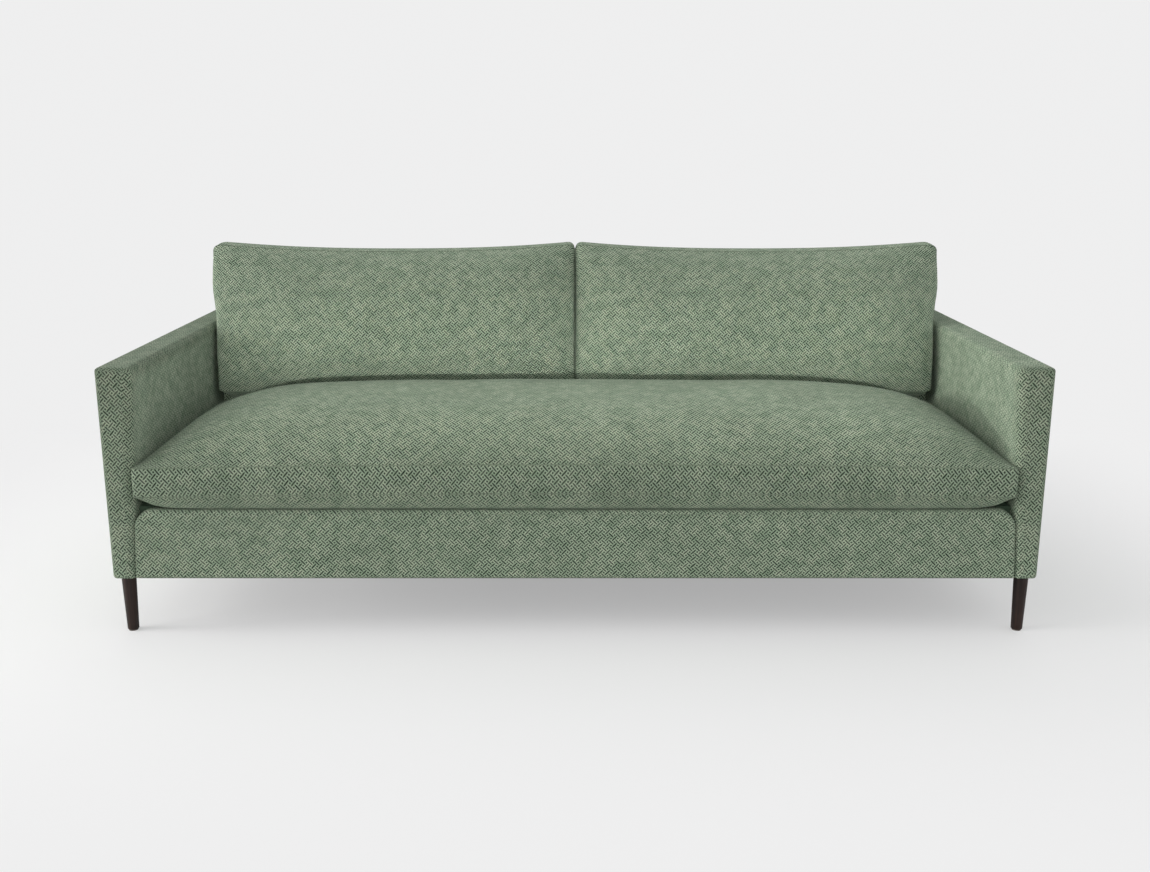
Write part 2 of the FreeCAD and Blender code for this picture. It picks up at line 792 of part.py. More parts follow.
skin = back_profile("back skin profile", back_foot, back_height, "0", cover_rear)
skin_outline = back_form(
    "back skin outline", back_foot, back_height, "0", front, whole_depth, "Sizes.back_corner"
)
skin = combine("Common", "back skin form", skin, skin_outline)
below_foot = "(%s - %s)" % (back_foot, cover)
inside = back_profile("back inner profile", below_foot, lining_top, cover, rear)
inside_outline = back_form(
    "back inner outline", below_foot, lining_top, cover, front, whole_depth, inner_corner
)
inside = combine("Common", "back inner form", inside, inside_outline)
keep("inside_back_cover", combine("Cut", "inside back cover", skin, inside))

keep(
    "outside_back_cover",
    back_form(
        "outside back cover",
        "Sizes.leg_height",
        back_height,
        "0",
        cover_rear,
        cover,
        "Sizes.back_corner",
    ),
)
keep(
    "outside_back_panel",
    back_form(
        "outside back panel",
        floor_of_frame,
        lining_top,
        cover,
        back_frame_rear,
        "Sizes.panel_thickness",
        inner_corner,
    ),
)

pad_outline = [
    (inside_back(back_foot, cover), back_foot),
    (inside_back(lining_top, cover), lining_top),
    (back_frame_rear, lining_top),
    (back_frame_rear, back_frame_top),
    (inside_back(back_frame_top, back_lining), back_frame_top),
    (inside_back(back_foot, back_lining), back_foot),
]
pad_run = prism("back pad run", "YZ_Plane", pad_outline, "-" + half_width, "Sizes.overall_width")
pad_form = back_form(
    "back pad outline", back_foot, lining_top, cover, front, whole_depth, inner_corner
)
keep("inside_back_padding", combine("Common", "inside back padding", pad_run, pad_form))

frame_profile = back_profile(
    "back frame profile", rails_top, back_frame_top, back_frame_front, back_frame_rear
)
panel_inset = "(%s + Sizes.side_panel_thickness)" % cover
for side, sign in sides.items():
    outline = [
        ("%d * %s" % (sign, inner_face(rails_top, cover)), rails_top),
        ("%d * %s" % (sign, inner_face("Sizes.arm_height", cover)), "Sizes.arm_height"),
        ("%d * %s" % (sign, inner_face("Sizes.arm_height", cover)), back_frame_top),
        ("%d * %s" % (sign, inner_face("Sizes.arm_height", panel_inset)), back_frame_top),
        ("%d * %s" % (sign, inner_face("Sizes.arm_height", panel_inset)), "Sizes.arm_height"),
        ("%d * %s" % (sign, inner_face(rails_top, panel_inset)), rails_top),
    ]
    strip = prism("back end strip", "XZ_Plane", outline, front, whole_depth)
    keep("back_end_panel_" + side, combine("Common", "back end panel", strip, frame_profile))

top_rail_foot = "(%s - Sizes.back_top_rail)" % back_frame_top
top_half = inner_face("Sizes.arm_height", panel_inset)
top_rail_outline = [
    (inside_back(top_rail_foot, back_frame_front), top_rail_foot),
    (inside_back(back_frame_top, back_frame_front), back_frame_top),
    (back_frame_rear, back_frame_top),
    (back_frame_rear, top_rail_foot),
]
keep(
    "back_top_rail",
    prism("back top rail", "YZ_Plane", top_rail_outline, "-" + top_half, "2 * " + top_half),
)

liner_top = "(%s + Sizes.liner_rail)" % back_foot
liner_back = "(%s + Sizes.board_thickness)" % back_frame_front
liner_outline = [
    (inside_back(back_foot, back_frame_front), back_foot),
    (inside_back(liner_top, back_frame_front), liner_top),
    (inside_back(liner_top, liner_back), liner_top),
    (inside_back(back_foot, liner_back), back_foot),
]
liner_run = prism(
    "liner rail run", "YZ_Plane", liner_outline, "-" + half_width, "Sizes.overall_width"
)
liner_room = across_prism(
    "room between the back ends", back_foot, liner_top, panel_inset, front, whole_depth
)
keep("back_liner_rail", combine("Common", "back liner rail", liner_run, liner_room))

upright_outline = [
    (inside_back(rails_top, liner_back), rails_top),
    (inside_back(liner_top, liner_back), liner_top),
    (inside_back(liner_top, back_frame_front), liner_top),
    (inside_back(top_rail_foot, back_frame_front), top_rail_foot),
    (back_frame_rear, top_rail_foot),
    (back_frame_rear, rails_top),
]
for side, sign in sides.items():
    start = "(%d * %s - Sizes.board_thickness / 2)" % (sign, cross_rail_place)
    keep(
        "back_upright_" + side,
        prism("back upright", "YZ_Plane", upright_outline, start, "Sizes.board_thickness"),
    )

back_strap_outline = [
    (inside_back(back_foot, back_lining), back_foot),
    (inside_back(back_frame_top, back_lining), back_frame_top),
    (inside_back(back_frame_top, back_frame_front), back_frame_top),
    (inside_back(back_foot, back_frame_front), back_foot),
]
back_straps_each_side = int((value(top_half) - strap_width / 2) // pitch)
back_webbing = []
for number in range(-back_straps_each_side, back_straps_each_side + 1):
    place = "(%d * %s - Sizes.webbing_width / 2)" % (number, strap_pitch)
    back_webbing.append(
        prism("back strap", "YZ_Plane", back_strap_outline, place, "Sizes.webbing_width")
    )
keep("back_webbing", group("back_webbing", back_webbing))


# Cushions: crowned lofts through lines and arcs, each with a foam core in a feather jacket

def bow(start, middle, end):
    """An arc through three points."""
    return Part.Arc(start, middle, end).toShape()


def line(start, end):
    """A straight edge."""
    return Part.LineSegment(start, end).toShape()


def turn_under(side, run, high, low):
    """Middle of an arc that falls from a seam and ends level, run away from the seam."""
    drop = high - low
    radius = (run ** 2 + drop ** 2) / (2 * drop)
    half_turn = math.atan2(run, radius - drop) / 2
    return side * (run - radius * math.sin(half_turn)), low + radius * (1 - math.cos(half_turn))


def swell(share, squareness):
    """How full a cushion is at a share of its half width: 1 at the middle, little at the end."""
    return max((1 - abs(share) ** squareness) ** (1 / squareness), LEAST_SWELL)


def fall_away(share, steepness, least):
    """Fullness that holds over most of the width, then falls off steadily to a least one."""
    return max(1 - abs(share) ** steepness, least)


def soft_solid(node, sections, core):
    """Loft the sections into a closed solid, with room for its core."""
    form = doc.addObject("Part::Feature", "soft_form")
    form.Shape = Part.makeLoft(sections, True, True)
    form.Label = node + " form"
    keep(node, combine("Cut", node, form, core))


LEAST_SWELL = 0.06
deck = value("Sizes.deck_height") + value("Sizes.fit_gap")
seat_front = value(front) - value("Sizes.cushion_overhang")
lower_seam = deck + value("Sizes.seat_under_bulge")
upper_seam = lower_seam + value("Sizes.seat_border")
rear_contact = "(Sizes.deck_height + Sizes.seat_under_bulge - Sizes.seat_seam_droop)"
seat_rear = value(inside_back(rear_contact)) - value("Sizes.cushion_gap")
seat_half = value(inner_face("%.6f" % upper_seam)) - value("Sizes.cushion_gap")
seat_length = seat_rear - seat_front
seat_crown = value("Sizes.seat_crown")
SEAT_BORDER_BOW = 3
# Where the crown's arcs meet: share of the way back, share of the crown's height
CROWN_PATH = {
    "rise": (0.067, 0.425),
    "shoulder": (0.164, 0.78),
    "brow": (0.30, 0.95),
    "apex": (0.486, 1.0),
    "fall": (0.63, 0.90),
    "slope": (0.79, 0.60),
}
# How far the underside's arcs run in from the front and from the rear: shares of the depth
FRONT_UNDER_RUN = 0.045
REAR_UNDER_RUN = 0.085
# How late the fullness falls off towards the ends: more is later and steeper
CROWN_STEEPNESS = 7.6
UNDERSIDE_STEEPNESS = 40
LEAST_UNDER_BULGE = 0.3


def seat_section(share):
    """Section of the seat cushion across the sofa at a share of its half width."""
    across = share * seat_half
    crown = seat_crown * fall_away(share, CROWN_STEEPNESS, LEAST_SWELL)
    droop = value("Sizes.seat_seam_droop") * share ** 2
    low = lower_seam - droop
    high = upper_seam - droop
    under = low - (low - deck) * fall_away(share, UNDERSIDE_STEEPNESS, LEAST_UNDER_BULGE)
    front_run = FRONT_UNDER_RUN * seat_length
    rear_run = REAR_UNDER_RUN * seat_length

    def spot(back_share, level):
        return FreeCAD.Vector(across, seat_front + back_share * seat_length, level)

    def on_crown(name):
        back_share, height = CROWN_PATH[name]
        return spot(back_share, high + height * crown)

    border = SEAT_BORDER_BOW / seat_length
    front_low = spot(border, low)
    front_high = spot(border, high)
    rear_high = spot(1, high)
    rear_low = spot(1, low)
    under_rear = FreeCAD.Vector(across, seat_rear - rear_run, under)
    under_front = FreeCAD.Vector(across, seat_front + front_run, under)
    rear_step, rear_level = turn_under(-1, rear_run, low, under)
    front_step, front_level = turn_under(1, front_run, low, under)
    rear_bend = FreeCAD.Vector(across, seat_rear + rear_step, rear_level)
    front_bend = FreeCAD.Vector(across, seat_front + front_step, front_level)
    edges = [
        bow(front_low, spot(0, (low + high) / 2), front_high),
        bow(front_high, on_crown("rise"), on_crown("shoulder")),
        bow(on_crown("shoulder"), on_crown("brow"), on_crown("apex")),
        bow(on_crown("apex"), on_crown("fall"), on_crown("slope")),
        line(on_crown("slope"), rear_high),
        line(rear_high, rear_low),
        bow(rear_low, rear_bend, under_rear),
        line(under_rear, under_front),
        bow(under_front, front_bend, front_low),
    ]
    return Part.Wire(edges)


# Sections lie closer together towards the ends, where the form turns down
seat_shares = [0.5, 0.7, 0.8, 0.88, 0.94, 0.975, 1.0]
seat_stations = [-share for share in reversed(seat_shares)] + [0] + seat_shares
core_margin = "Sizes.core_margin"
core_half = "(%s - Sizes.cushion_gap - %s)" % (inner_face("Sizes.deck_height"), core_margin)
core_front = "(%s - Sizes.cushion_overhang + %s)" % (front, core_margin)
core_foot = "(Sizes.deck_height + Sizes.seat_under_bulge + (Sizes.seat_border - %s) / 2)" % (
    "Sizes.seat_core_height"
)
keep(
    "seat_cushion_core",
    block(
        "seat cushion core",
        ("-" + core_half, core_front, core_foot),
        (
            "2 * " + core_half,
            "%s - %s - %s" % (inside_back("Sizes.deck_height"), core_front, core_margin),
            "Sizes.seat_core_height",
        ),
    ),
)
soft_solid(
    "seat_cushion", [seat_section(share) for share in seat_stations], pieces["seat_cushion_core"]
)

rake = math.radians(value("Sizes.back_rake"))
rest_gap = value("Sizes.rest_gap")
slope_back, slope_height = CROWN_PATH["slope"]
slope_fall = seat_crown * slope_height / ((1 - slope_back) * seat_length)
cushion_top = value(back_cushion_top)
cushion_border = value("Sizes.back_cushion_border")
cushion_crown = value("Sizes.back_cushion_crown")
corner_radius = value("Sizes.back_cushion_corner")
outer_end = value(back_half) - value("Sizes.back_cushion_side_gap")
inner_end = value("Sizes.back_cushion_split") / 2
cushion_half = (outer_end - inner_end) / 2
cushion_middle = (outer_end + inner_end) / 2
back_cushion_middle_level = (cushion_top + upper_seam) / 2
BELLY_FOOT_RISE = 35
# Rounds in which the level of a back cushion's heel settles on the seat's slope
HEEL_ROUNDS = 8
TOP_BOW = 7
SEAM_BELOW_TOP = 4
DIP_SQUARENESS = 2.4
BELLY_SQUARENESS = 3
CORNER_THINNING = 0.35
# Where the belly's arcs meet: share of the way down, share of the belly's height
BELLY_PATH = {
    "brow": (0.09, 0.42),
    "upper": (0.26, 0.80),
    "apex": (0.54, 1.0),
    "lower": (0.80, 0.80),
    "chin": (0.93, 0.42),
}


def back_plane(level):
    """Y of a back cushion's back at a level."""
    return value("%s + %s" % (front, seat_depth)) - rest_gap + (
        (level - value("Sizes.deck_height")) * math.tan(rake)
    )


def seat_slope(along):
    """Level of the seat cushion's rear slope at the middle, and a little above it."""
    return upper_seam + (seat_rear - along) * slope_fall + 2 * rest_gap


def cushion_section(sign, share):
    """Section of a back cushion at a share of its half width; share 1 is its outer end."""
    inset_from_end = (1 - abs(share)) * cushion_half
    shrink = 0
    if inset_from_end < corner_radius:
        reach = corner_radius - inset_from_end
        shrink = corner_radius - math.sqrt(corner_radius ** 2 - reach ** 2)
    full = swell(share, BELLY_SQUARENESS)
    dip = value("Sizes.back_cushion_dip") * (1 - abs(share) ** DIP_SQUARENESS)
    top = cushion_top - dip - shrink
    seam = top - SEAM_BELOW_TOP
    thin = CORNER_THINNING * shrink
    rear_top = top - TOP_BOW - SEAM_BELOW_TOP / 2
    heel_level = upper_seam
    for _ in range(HEEL_ROUNDS):
        heel_level = seat_slope(back_plane(heel_level)) + shrink
    toe = back_plane(upper_seam + BELLY_FOOT_RISE) - cushion_border + thin
    toe_level = seat_slope(toe) + shrink

    def spot(along, level):
        flare = 0
        if share > 0:
            flare = value("Sizes.back_cushion_flare") * share ** 6
        climb = (level - back_cushion_middle_level) / (cushion_top - back_cushion_middle_level)
        lean_out = flare * climb - flare / 2
        across = sign * (cushion_middle + share * cushion_half + lean_out)
        return FreeCAD.Vector(across, along, level)

    upper = spot(back_plane(seam) - cushion_border + thin, seam)
    lower = spot(toe, toe_level)
    heel = spot(back_plane(heel_level), heel_level)
    nape = spot(back_plane(rear_top), rear_top)
    ridge = spot((upper.y + nape.y) / 2, top)
    chord_y = lower.y - upper.y
    chord_z = lower.z - upper.z
    length = math.hypot(chord_y, chord_z)
    out_y = chord_z / length
    out_z = -chord_y / length

    def on_belly(name):
        down, height = BELLY_PATH[name]
        out = height * cushion_crown * full
        return spot(upper.y + down * chord_y + out * out_y, upper.z + down * chord_z + out * out_z)

    edges = [
        bow(nape, ridge, upper),
        bow(upper, on_belly("brow"), on_belly("upper")),
        bow(on_belly("upper"), on_belly("apex"), on_belly("lower")),
        bow(on_belly("lower"), on_belly("chin"), lower),
        line(lower, heel),
        line(heel, nape),
    ]
    return Part.Wire(edges)


# Sections at a few distances from each end, closest together round the corners
end_shares = [1 - reach / cushion_half for reach in (80, corner_radius, 6, 0)]
right_shares = [0.4, 0.6, 0.73] + end_shares
cushion_stations = [-share for share in reversed(right_shares)] + [0] + right_shares
core_rise = "(Sizes.deck_height + Sizes.seat_under_bulge + Sizes.seat_border + %s)" % core_margin
core_depth = "(Sizes.back_core_thickness / cos(Sizes.back_rake))"
for side, sign in sides.items():
    core_low = "(Sizes.back_cushion_split / 2 + %s)" % core_margin
    core_width = "(%s - Sizes.back_cushion_side_gap - %s - %s)" % (back_half, core_low, core_margin)
    core_x = core_low if sign > 0 else "-(%s + %s)" % (core_low, core_width)
    core_y = inside_back(core_rise, "-(Sizes.back_cushion_border + %s) / 2" % core_depth)
    core = block(
        "back cushion core",
        (core_x, core_y, core_rise),
        (
            core_width,
            "Sizes.back_core_thickness",
            "%s - Sizes.back_cushion_dip - %s - %s" % (back_cushion_top, core_rise, core_margin),
        ),
    )
    core.Placement = FreeCAD.Placement(
        core.Placement.Base, FreeCAD.Rotation(FreeCAD.Vector(-1, 0, 0), value("Sizes.back_rake"))
    )
    core.setExpression("Placement.Rotation.Angle", "Sizes.back_rake * 1 deg")
    keep("back_cushion_core_" + side, core)
    stations = cushion_stations if sign > 0 else list(reversed(cushion_stations))
    soft_solid(
        "back_cushion_" + side,
        [cushion_section(sign, share) for share in stations],
        core,
    )

doc.recompute()

# Every object is sound before anything is written
for item in doc.Objects:
    bad = [word for word in item.State if word in ("Invalid", "Error")]
    if bad:
        raise RuntimeError("%s (%s) is %s" % (item.Name, item.Label, bad))
total = 0
for node, item in pieces.items():
    shape = item.Shape
    if shape.isNull() or not shape.isValid() or not shape.Solids:
        raise RuntimeError("%s has no valid solid" % node)
    total += shape.Volume
    print("%-28s solids %2d  volume %12.0f" % (node, len(shape.Solids), shape.Volume))
for node, item in pieces.items():
    item.Shape.exportStep("parts/%s.step" % node)
print("%d pieces, %.4f cubic metres" % (len(pieces), total / 1e9))
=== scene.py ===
import json
import math

import bmesh
import bpy
import numpy as np
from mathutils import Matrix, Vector, noise


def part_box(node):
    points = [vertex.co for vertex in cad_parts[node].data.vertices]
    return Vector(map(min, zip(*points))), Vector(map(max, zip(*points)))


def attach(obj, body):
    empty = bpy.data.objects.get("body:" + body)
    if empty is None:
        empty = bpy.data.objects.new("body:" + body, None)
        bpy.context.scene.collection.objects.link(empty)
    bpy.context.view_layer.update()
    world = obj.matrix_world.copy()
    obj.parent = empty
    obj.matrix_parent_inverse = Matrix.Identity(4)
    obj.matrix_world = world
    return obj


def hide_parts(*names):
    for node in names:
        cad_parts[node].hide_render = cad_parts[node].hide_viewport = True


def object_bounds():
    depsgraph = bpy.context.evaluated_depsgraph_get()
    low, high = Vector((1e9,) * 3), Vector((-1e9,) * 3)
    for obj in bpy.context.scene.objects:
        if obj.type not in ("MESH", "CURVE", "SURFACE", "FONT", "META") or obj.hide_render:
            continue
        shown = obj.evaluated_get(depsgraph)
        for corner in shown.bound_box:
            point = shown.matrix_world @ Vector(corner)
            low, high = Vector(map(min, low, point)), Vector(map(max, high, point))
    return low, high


# The upholstered look of a four-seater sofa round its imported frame. Metres, +Z up, front to -Y.

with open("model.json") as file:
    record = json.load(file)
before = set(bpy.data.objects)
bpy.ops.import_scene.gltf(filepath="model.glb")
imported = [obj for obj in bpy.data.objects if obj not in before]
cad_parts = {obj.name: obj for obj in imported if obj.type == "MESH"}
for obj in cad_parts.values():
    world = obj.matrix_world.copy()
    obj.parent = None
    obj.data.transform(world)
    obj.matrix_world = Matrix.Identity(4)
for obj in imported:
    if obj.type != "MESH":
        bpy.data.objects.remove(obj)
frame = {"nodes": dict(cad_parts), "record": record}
cad_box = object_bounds()
SIDES = {"left": -1, "right": 1}
RIGHT, BACK, UP = Vector((1, 0, 0)), Vector((0, 1, 0)), Vector((0, 0, 1))

# Forms read from the frame
arm_low, arm_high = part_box("arm_cover_right")
border_low, border_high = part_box("front_border_cover")
seat_low, seat_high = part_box("seat_cushion")
back_low, back_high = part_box("inside_back_cover")
rear_low, rear_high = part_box("outside_back_cover")
pillow_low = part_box("back_cushion_right")[0]
dust_low, dust_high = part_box("dust_cover")
core_low, core_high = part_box("seat_cushion_core")

# Sizes that several pieces share and the boxes don't give
ARM_FOOT_WIDTH = 0.053
BACK_RAKE = math.radians(12)
COVER = 0.003
SEAT_BORDER = 0.070
SEAT_UNDER_BULGE = 0.045
SEAT_CROWN = 0.120
REST_GAP = 0.0005
SEAM_RADIUS = 0.0013

# Cloth pattern: its repeat, and how much tighter it looks on a thin welt
WEAVE_REPEAT = 0.017
WELT_TIGHTNESS = 4.0


def arm_inner(level):
    """Distance of the arms' leaning inner faces from the middle plane at a level."""
    climb = (level - arm_low.z) / (arm_high.z - arm_low.z)
    foot = arm_high.x - ARM_FOOT_WIDTH
    return foot + (arm_low.x - foot) * climb


def inside_back(level):
    """Y of the raked inside back at a level."""
    return back_low.y + (level - back_low.z) * math.tan(BACK_RAKE)


def show(name, data, place=(0.0, 0.0, 0.0), turn=(0.0, 0.0, 0.0)):
    """Put a new object with this data into the scene."""
    holder = bpy.data.objects.new(name, data)
    bpy.context.scene.collection.objects.link(holder)
    holder.location = place
    holder.rotation_euler = turn
    return holder


# Surfaces: a piece is a set of patches, each a grid of points with its own cloth coordinates

class Shell:
    """Collects patches and turns them into one closed mesh."""

    def __init__(self):
        self.points = []
        self.faces = []
        self.cloth = []

    def patch(self, grid, cloth):
        """Add a grid of points (rows, columns, 3) with cloth coordinates (rows, columns, 2)."""
        grid = np.asarray(grid, float)
        flat = np.asarray(cloth, float).reshape(-1, 2)
        rows, columns = grid.shape[:2]
        index = np.arange(rows * columns).reshape(rows, columns)
        corners = (index[:-1, :-1], index[:-1, 1:], index[1:, 1:], index[1:, :-1])
        quads = np.stack(corners, axis=2).reshape(-1, 4)
        self.faces += (len(self.points) + quads).tolist()
        self.points += grid.reshape(-1, 3).tolist()
        self.cloth += flat[quads.ravel()].tolist()

    def build(self, name, body, slot, sharp=None):
        """Make the object, weld the patches, smooth it and set it on its body."""
        mesh = bpy.data.meshes.new(name)
        mesh.from_pydata(self.points, [], self.faces)
        layer = mesh.uv_layers.new(name="cloth")
        layer.data.foreach_set("uv", np.asarray(self.cloth, np.float32).ravel())
        work = bmesh.new()
        work.from_mesh(mesh)
        bmesh.ops.remove_doubles(work, verts=work.verts, dist=2e-5)
        bmesh.ops.dissolve_degenerate(work, dist=1e-6, edges=work.edges)
        bmesh.ops.recalc_face_normals(work, faces=work.faces)
        for face in work.faces:
            face.smooth = True
        if sharp is not None:
            for edge in work.edges:
                if len(edge.link_faces) == 2 and edge.calc_face_angle() > sharp:
                    edge.smooth = False
        work.to_mesh(mesh)
        work.free()
        mesh.materials.append(materials[slot])
        piece = show(name, mesh)
        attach(piece, body)
        return piece


def straight(start, end, count):
    """Points evenly spread on the line between two points."""
    start, end = np.asarray(start, float), np.asarray(end, float)
    return [start + (end - start) * step / count for step in range(count + 1)]


def circle(centre, side, up, radius, count):
    """Points round a centre in the plane of two axes, the last one on the first."""
    turns = [math.tau * step / count for step in range(count + 1)]
    return [centre + (side * math.cos(turn) + up * math.sin(turn)) * radius for turn in turns]


def arc(start, middle, end, count):
    """Points along the circle through three points in a plane."""
    (ax, ay), (bx, by), (cx, cy) = start, middle, end
    double = 2 * (ax * (by - cy) + bx * (cy - ay) + cx * (ay - by))
    sa, sb, sc = ax * ax + ay * ay, bx * bx + by * by, cx * cx + cy * cy
    ox = (sa * (by - cy) + sb * (cy - ay) + sc * (ay - by)) / double
    oy = (sa * (cx - bx) + sb * (ax - cx) + sc * (bx - ax)) / double
    radius = math.hypot(ax - ox, ay - oy)
    first = math.atan2(ay - oy, ax - ox)
    through = (math.atan2(by - oy, bx - ox) - first) % math.tau
    turn = (math.atan2(cy - oy, cx - ox) - first) % math.tau
    if through > turn:
        turn -= math.tau
    angles = [first + turn * step / count for step in range(count + 1)]
    return [(ox + radius * math.cos(angle), oy + radius * math.sin(angle)) for angle in angles]


def smooth_path(knots, count):
    """Points evenly spread along a smooth curve through the knots."""
    def between(p, q, start, end, t):
        return p * (end - t) / (end - start) + q * (t - start) / (end - start)

    knots = np.asarray(knots, float)
    padded = np.vstack([2 * knots[0] - knots[1], knots, 2 * knots[-1] - knots[-2]])
    fine = []
    for index in range(1, len(padded) - 2):
        p0, p1, p2, p3 = padded[index - 1:index + 3]
        t1 = math.sqrt(np.linalg.norm(p1 - p0))
        t2 = t1 + math.sqrt(np.linalg.norm(p2 - p1))
        t3 = t2 + math.sqrt(np.linalg.norm(p3 - p2))
        for t in np.linspace(t1, t2, 24, endpoint=False):
            a1 = between(p0, p1, 0, t1, t)
            a2 = between(p1, p2, t1, t2, t)
            a3 = between(p2, p3, t2, t3, t)
            fine.append(between(between(a1, a2, 0, t2, t), between(a2, a3, t1, t3, t), t1, t2, t))
    fine = np.asarray(fine + [knots[-1]])
    run = run_length(fine)
    places = np.linspace(0, run[-1], count + 1)
    return np.stack([np.interp(places, run, fine[:, axis]) for axis in range(2)], axis=1)


def run_length(points):
    """Distance along a row of points, from its first."""
    steps = np.linalg.norm(np.diff(np.asarray(points, float), axis=0), axis=1)
    return np.concatenate([[0], np.cumsum(steps)])


def swell(share, squareness):
    """How full a cushion is at a share of its half width."""
    return max(1 - abs(share) ** squareness, 0) ** (1 / squareness)


def fall_away(share, steepness, least=0.0):
    """Fullness that holds over most of the width, then falls off steadily to a least one."""
    return max(1 - abs(share) ** steepness, least)


def ease(share):
    """Smooth climb from 0 to 1 over the shares from 0 to 1."""
    share = min(max(share, 0.0), 1.0)
    return share * share * (3 - 2 * share)


def end_spread(count):
    """Shares from -1 to 1, closer together towards both ends."""
    return [math.sin(math.pi * (step / count - 0.5)) for step in range(count + 1)]


def ripple(spot, size, seed):
    """A smooth random number about 0 for a point, the same in each run."""
    return noise.noise(Vector(spot) / size + Vector((seed, 2.3 * seed, -1.7 * seed)))


def tube(shell, line, radius=SEAM_RADIUS, sides=8):
    """Add a closed round welt along a closed line of points."""
    least_step = radius * 1.2
    keep = [Vector(line[0])]
    for spot in map(Vector, line[1:]):
        if (spot - keep[-1]).length > least_step:
            keep.append(spot)
    while (keep[-1] - keep[0]).length < least_step:
        keep.pop()
    rows = []
    side = None
    for index, centre in enumerate(keep):
        along = (keep[(index + 1) % len(keep)] - keep[index - 1]).normalized()
        if side is None:
            side = along.orthogonal()
        side = (side - along * side.dot(along)).normalized()
        rows.append(circle(centre, side, along.cross(side), radius, sides))
    first, last = rows[0], rows[-1]
    shift = min(range(sides), key=lambda step: (first[step] - last[0]).length)
    rows.append([first[(turn + shift) % sides] for turn in range(sides + 1)])
    along = WELT_TIGHTNESS * run_length([row[0] for row in rows])
    around = [WELT_TIGHTNESS * radius * math.tau * turn / sides for turn in range(sides + 1)]
    shell.patch(rows, [[(v, u) for u in around] for v in along])


def close_end(shell, ring, spine, flat_ring, flat_spine, count, stretch=1.0):
    """Fill a piece's end between its ring of points and a spine inside it."""
    shares = [step / count for step in range(count + 1)]
    flats = [flat_ring * (1 - share) + flat_spine * share for share in shares]
    shell.patch(
        [ring * (1 - share) + spine * share for share in shares],
        [flat / (1.0, stretch) for flat in flats],
    )


# Painted shade: a per-point share that darkens the cloth's colour, with slow chance changes in its strength
PAINTED_SHADE_PATCH = 0.12
PAINTED_SHADE_CHANGE = 0.3


def set_painted_shade(piece, rule):
    """Note on each point how much painted shade darkens the cloth, with slow chance changes."""
    painted_shade = piece.data.attributes.new("painted_shade", "FLOAT", "POINT")
    for index, vertex in enumerate(piece.data.vertices):
        patchy = 1 + PAINTED_SHADE_CHANGE * ripple(vertex.co, PAINTED_SHADE_PATCH, 5)
        painted_shade.data[index].value = min(max(rule(vertex.co) * patchy, 0.0), 1.0)


# Rounded prisms: arms, border and backs

LEAST_RADIUS = 2e-4
CAP_SPINE_INSET = 0.4


def left_of(way):
    """A direction turned left by a right angle."""
    return np.array([-way[1], way[0]])


def cross(first, second):
    return first[0] * second[1] - first[1] * second[0]


def outline_ring(corners, radii, insets, arc_steps, edge_steps):
    """Outline through rounded corners, each side moved in by its inset; a fixed point count."""
    corners = np.asarray(corners, float)
    count = len(corners)
    ways = np.roll(corners, -1, axis=0) - corners
    ways /= np.linalg.norm(ways, axis=1, keepdims=True)
    starts = [corner + left_of(way) * inset for corner, way, inset in zip(corners, ways, insets)]
    bends = []
    for index in range(count):
        before, after = ways[index - 1], ways[index]
        reach = cross(starts[index] - starts[index - 1], after) / cross(before, after)
        corner = starts[index - 1] + before * reach
        radius = max(radii[index] - (insets[index - 1] + insets[index]) / 2, LEAST_RADIUS)
        turn = math.atan2(cross(before, after), float(np.dot(before, after)))
        bends.append((corner - before * radius * math.tan(turn / 2), radius, turn))
    ring = []
    for index, (begin, radius, turn) in enumerate(bends):
        centre = begin + left_of(ways[index - 1]) * radius
        spoke = begin - centre
        for step in range(arc_steps + 1):
            angle = turn * step / arc_steps
            ring.append(centre + spoke * math.cos(angle) + left_of(spoke) * math.sin(angle))
        ring += straight(ring[-1], bends[(index + 1) % count][0], edge_steps)[1:-1]
    return np.asarray(ring + [ring[0]])


def depth_stations(length, front_radius, rear_radius, spacing):
    """Depths from 0 to length, close together where the ends are rounded."""
    bends = [1 - math.sin(math.pi / 2 * (1 - step / 6)) for step in range(7)]
    front = [front_radius * bend for bend in bends]
    rear = [length - rear_radius * bend for bend in reversed(bends)]
    middle_count = max(2, round((length - front_radius - rear_radius) / spacing))
    middle = np.linspace(front[-1], rear[0], middle_count + 1)[1:-1].tolist()
    return front + middle + rear


def rounded_inset(depth, radius):
    """How far a side lies inwards at a depth behind a rounded end."""
    if radius <= 0 or depth >= radius:
        return 0.0
    return radius - math.sqrt(radius ** 2 - (radius - depth) ** 2)


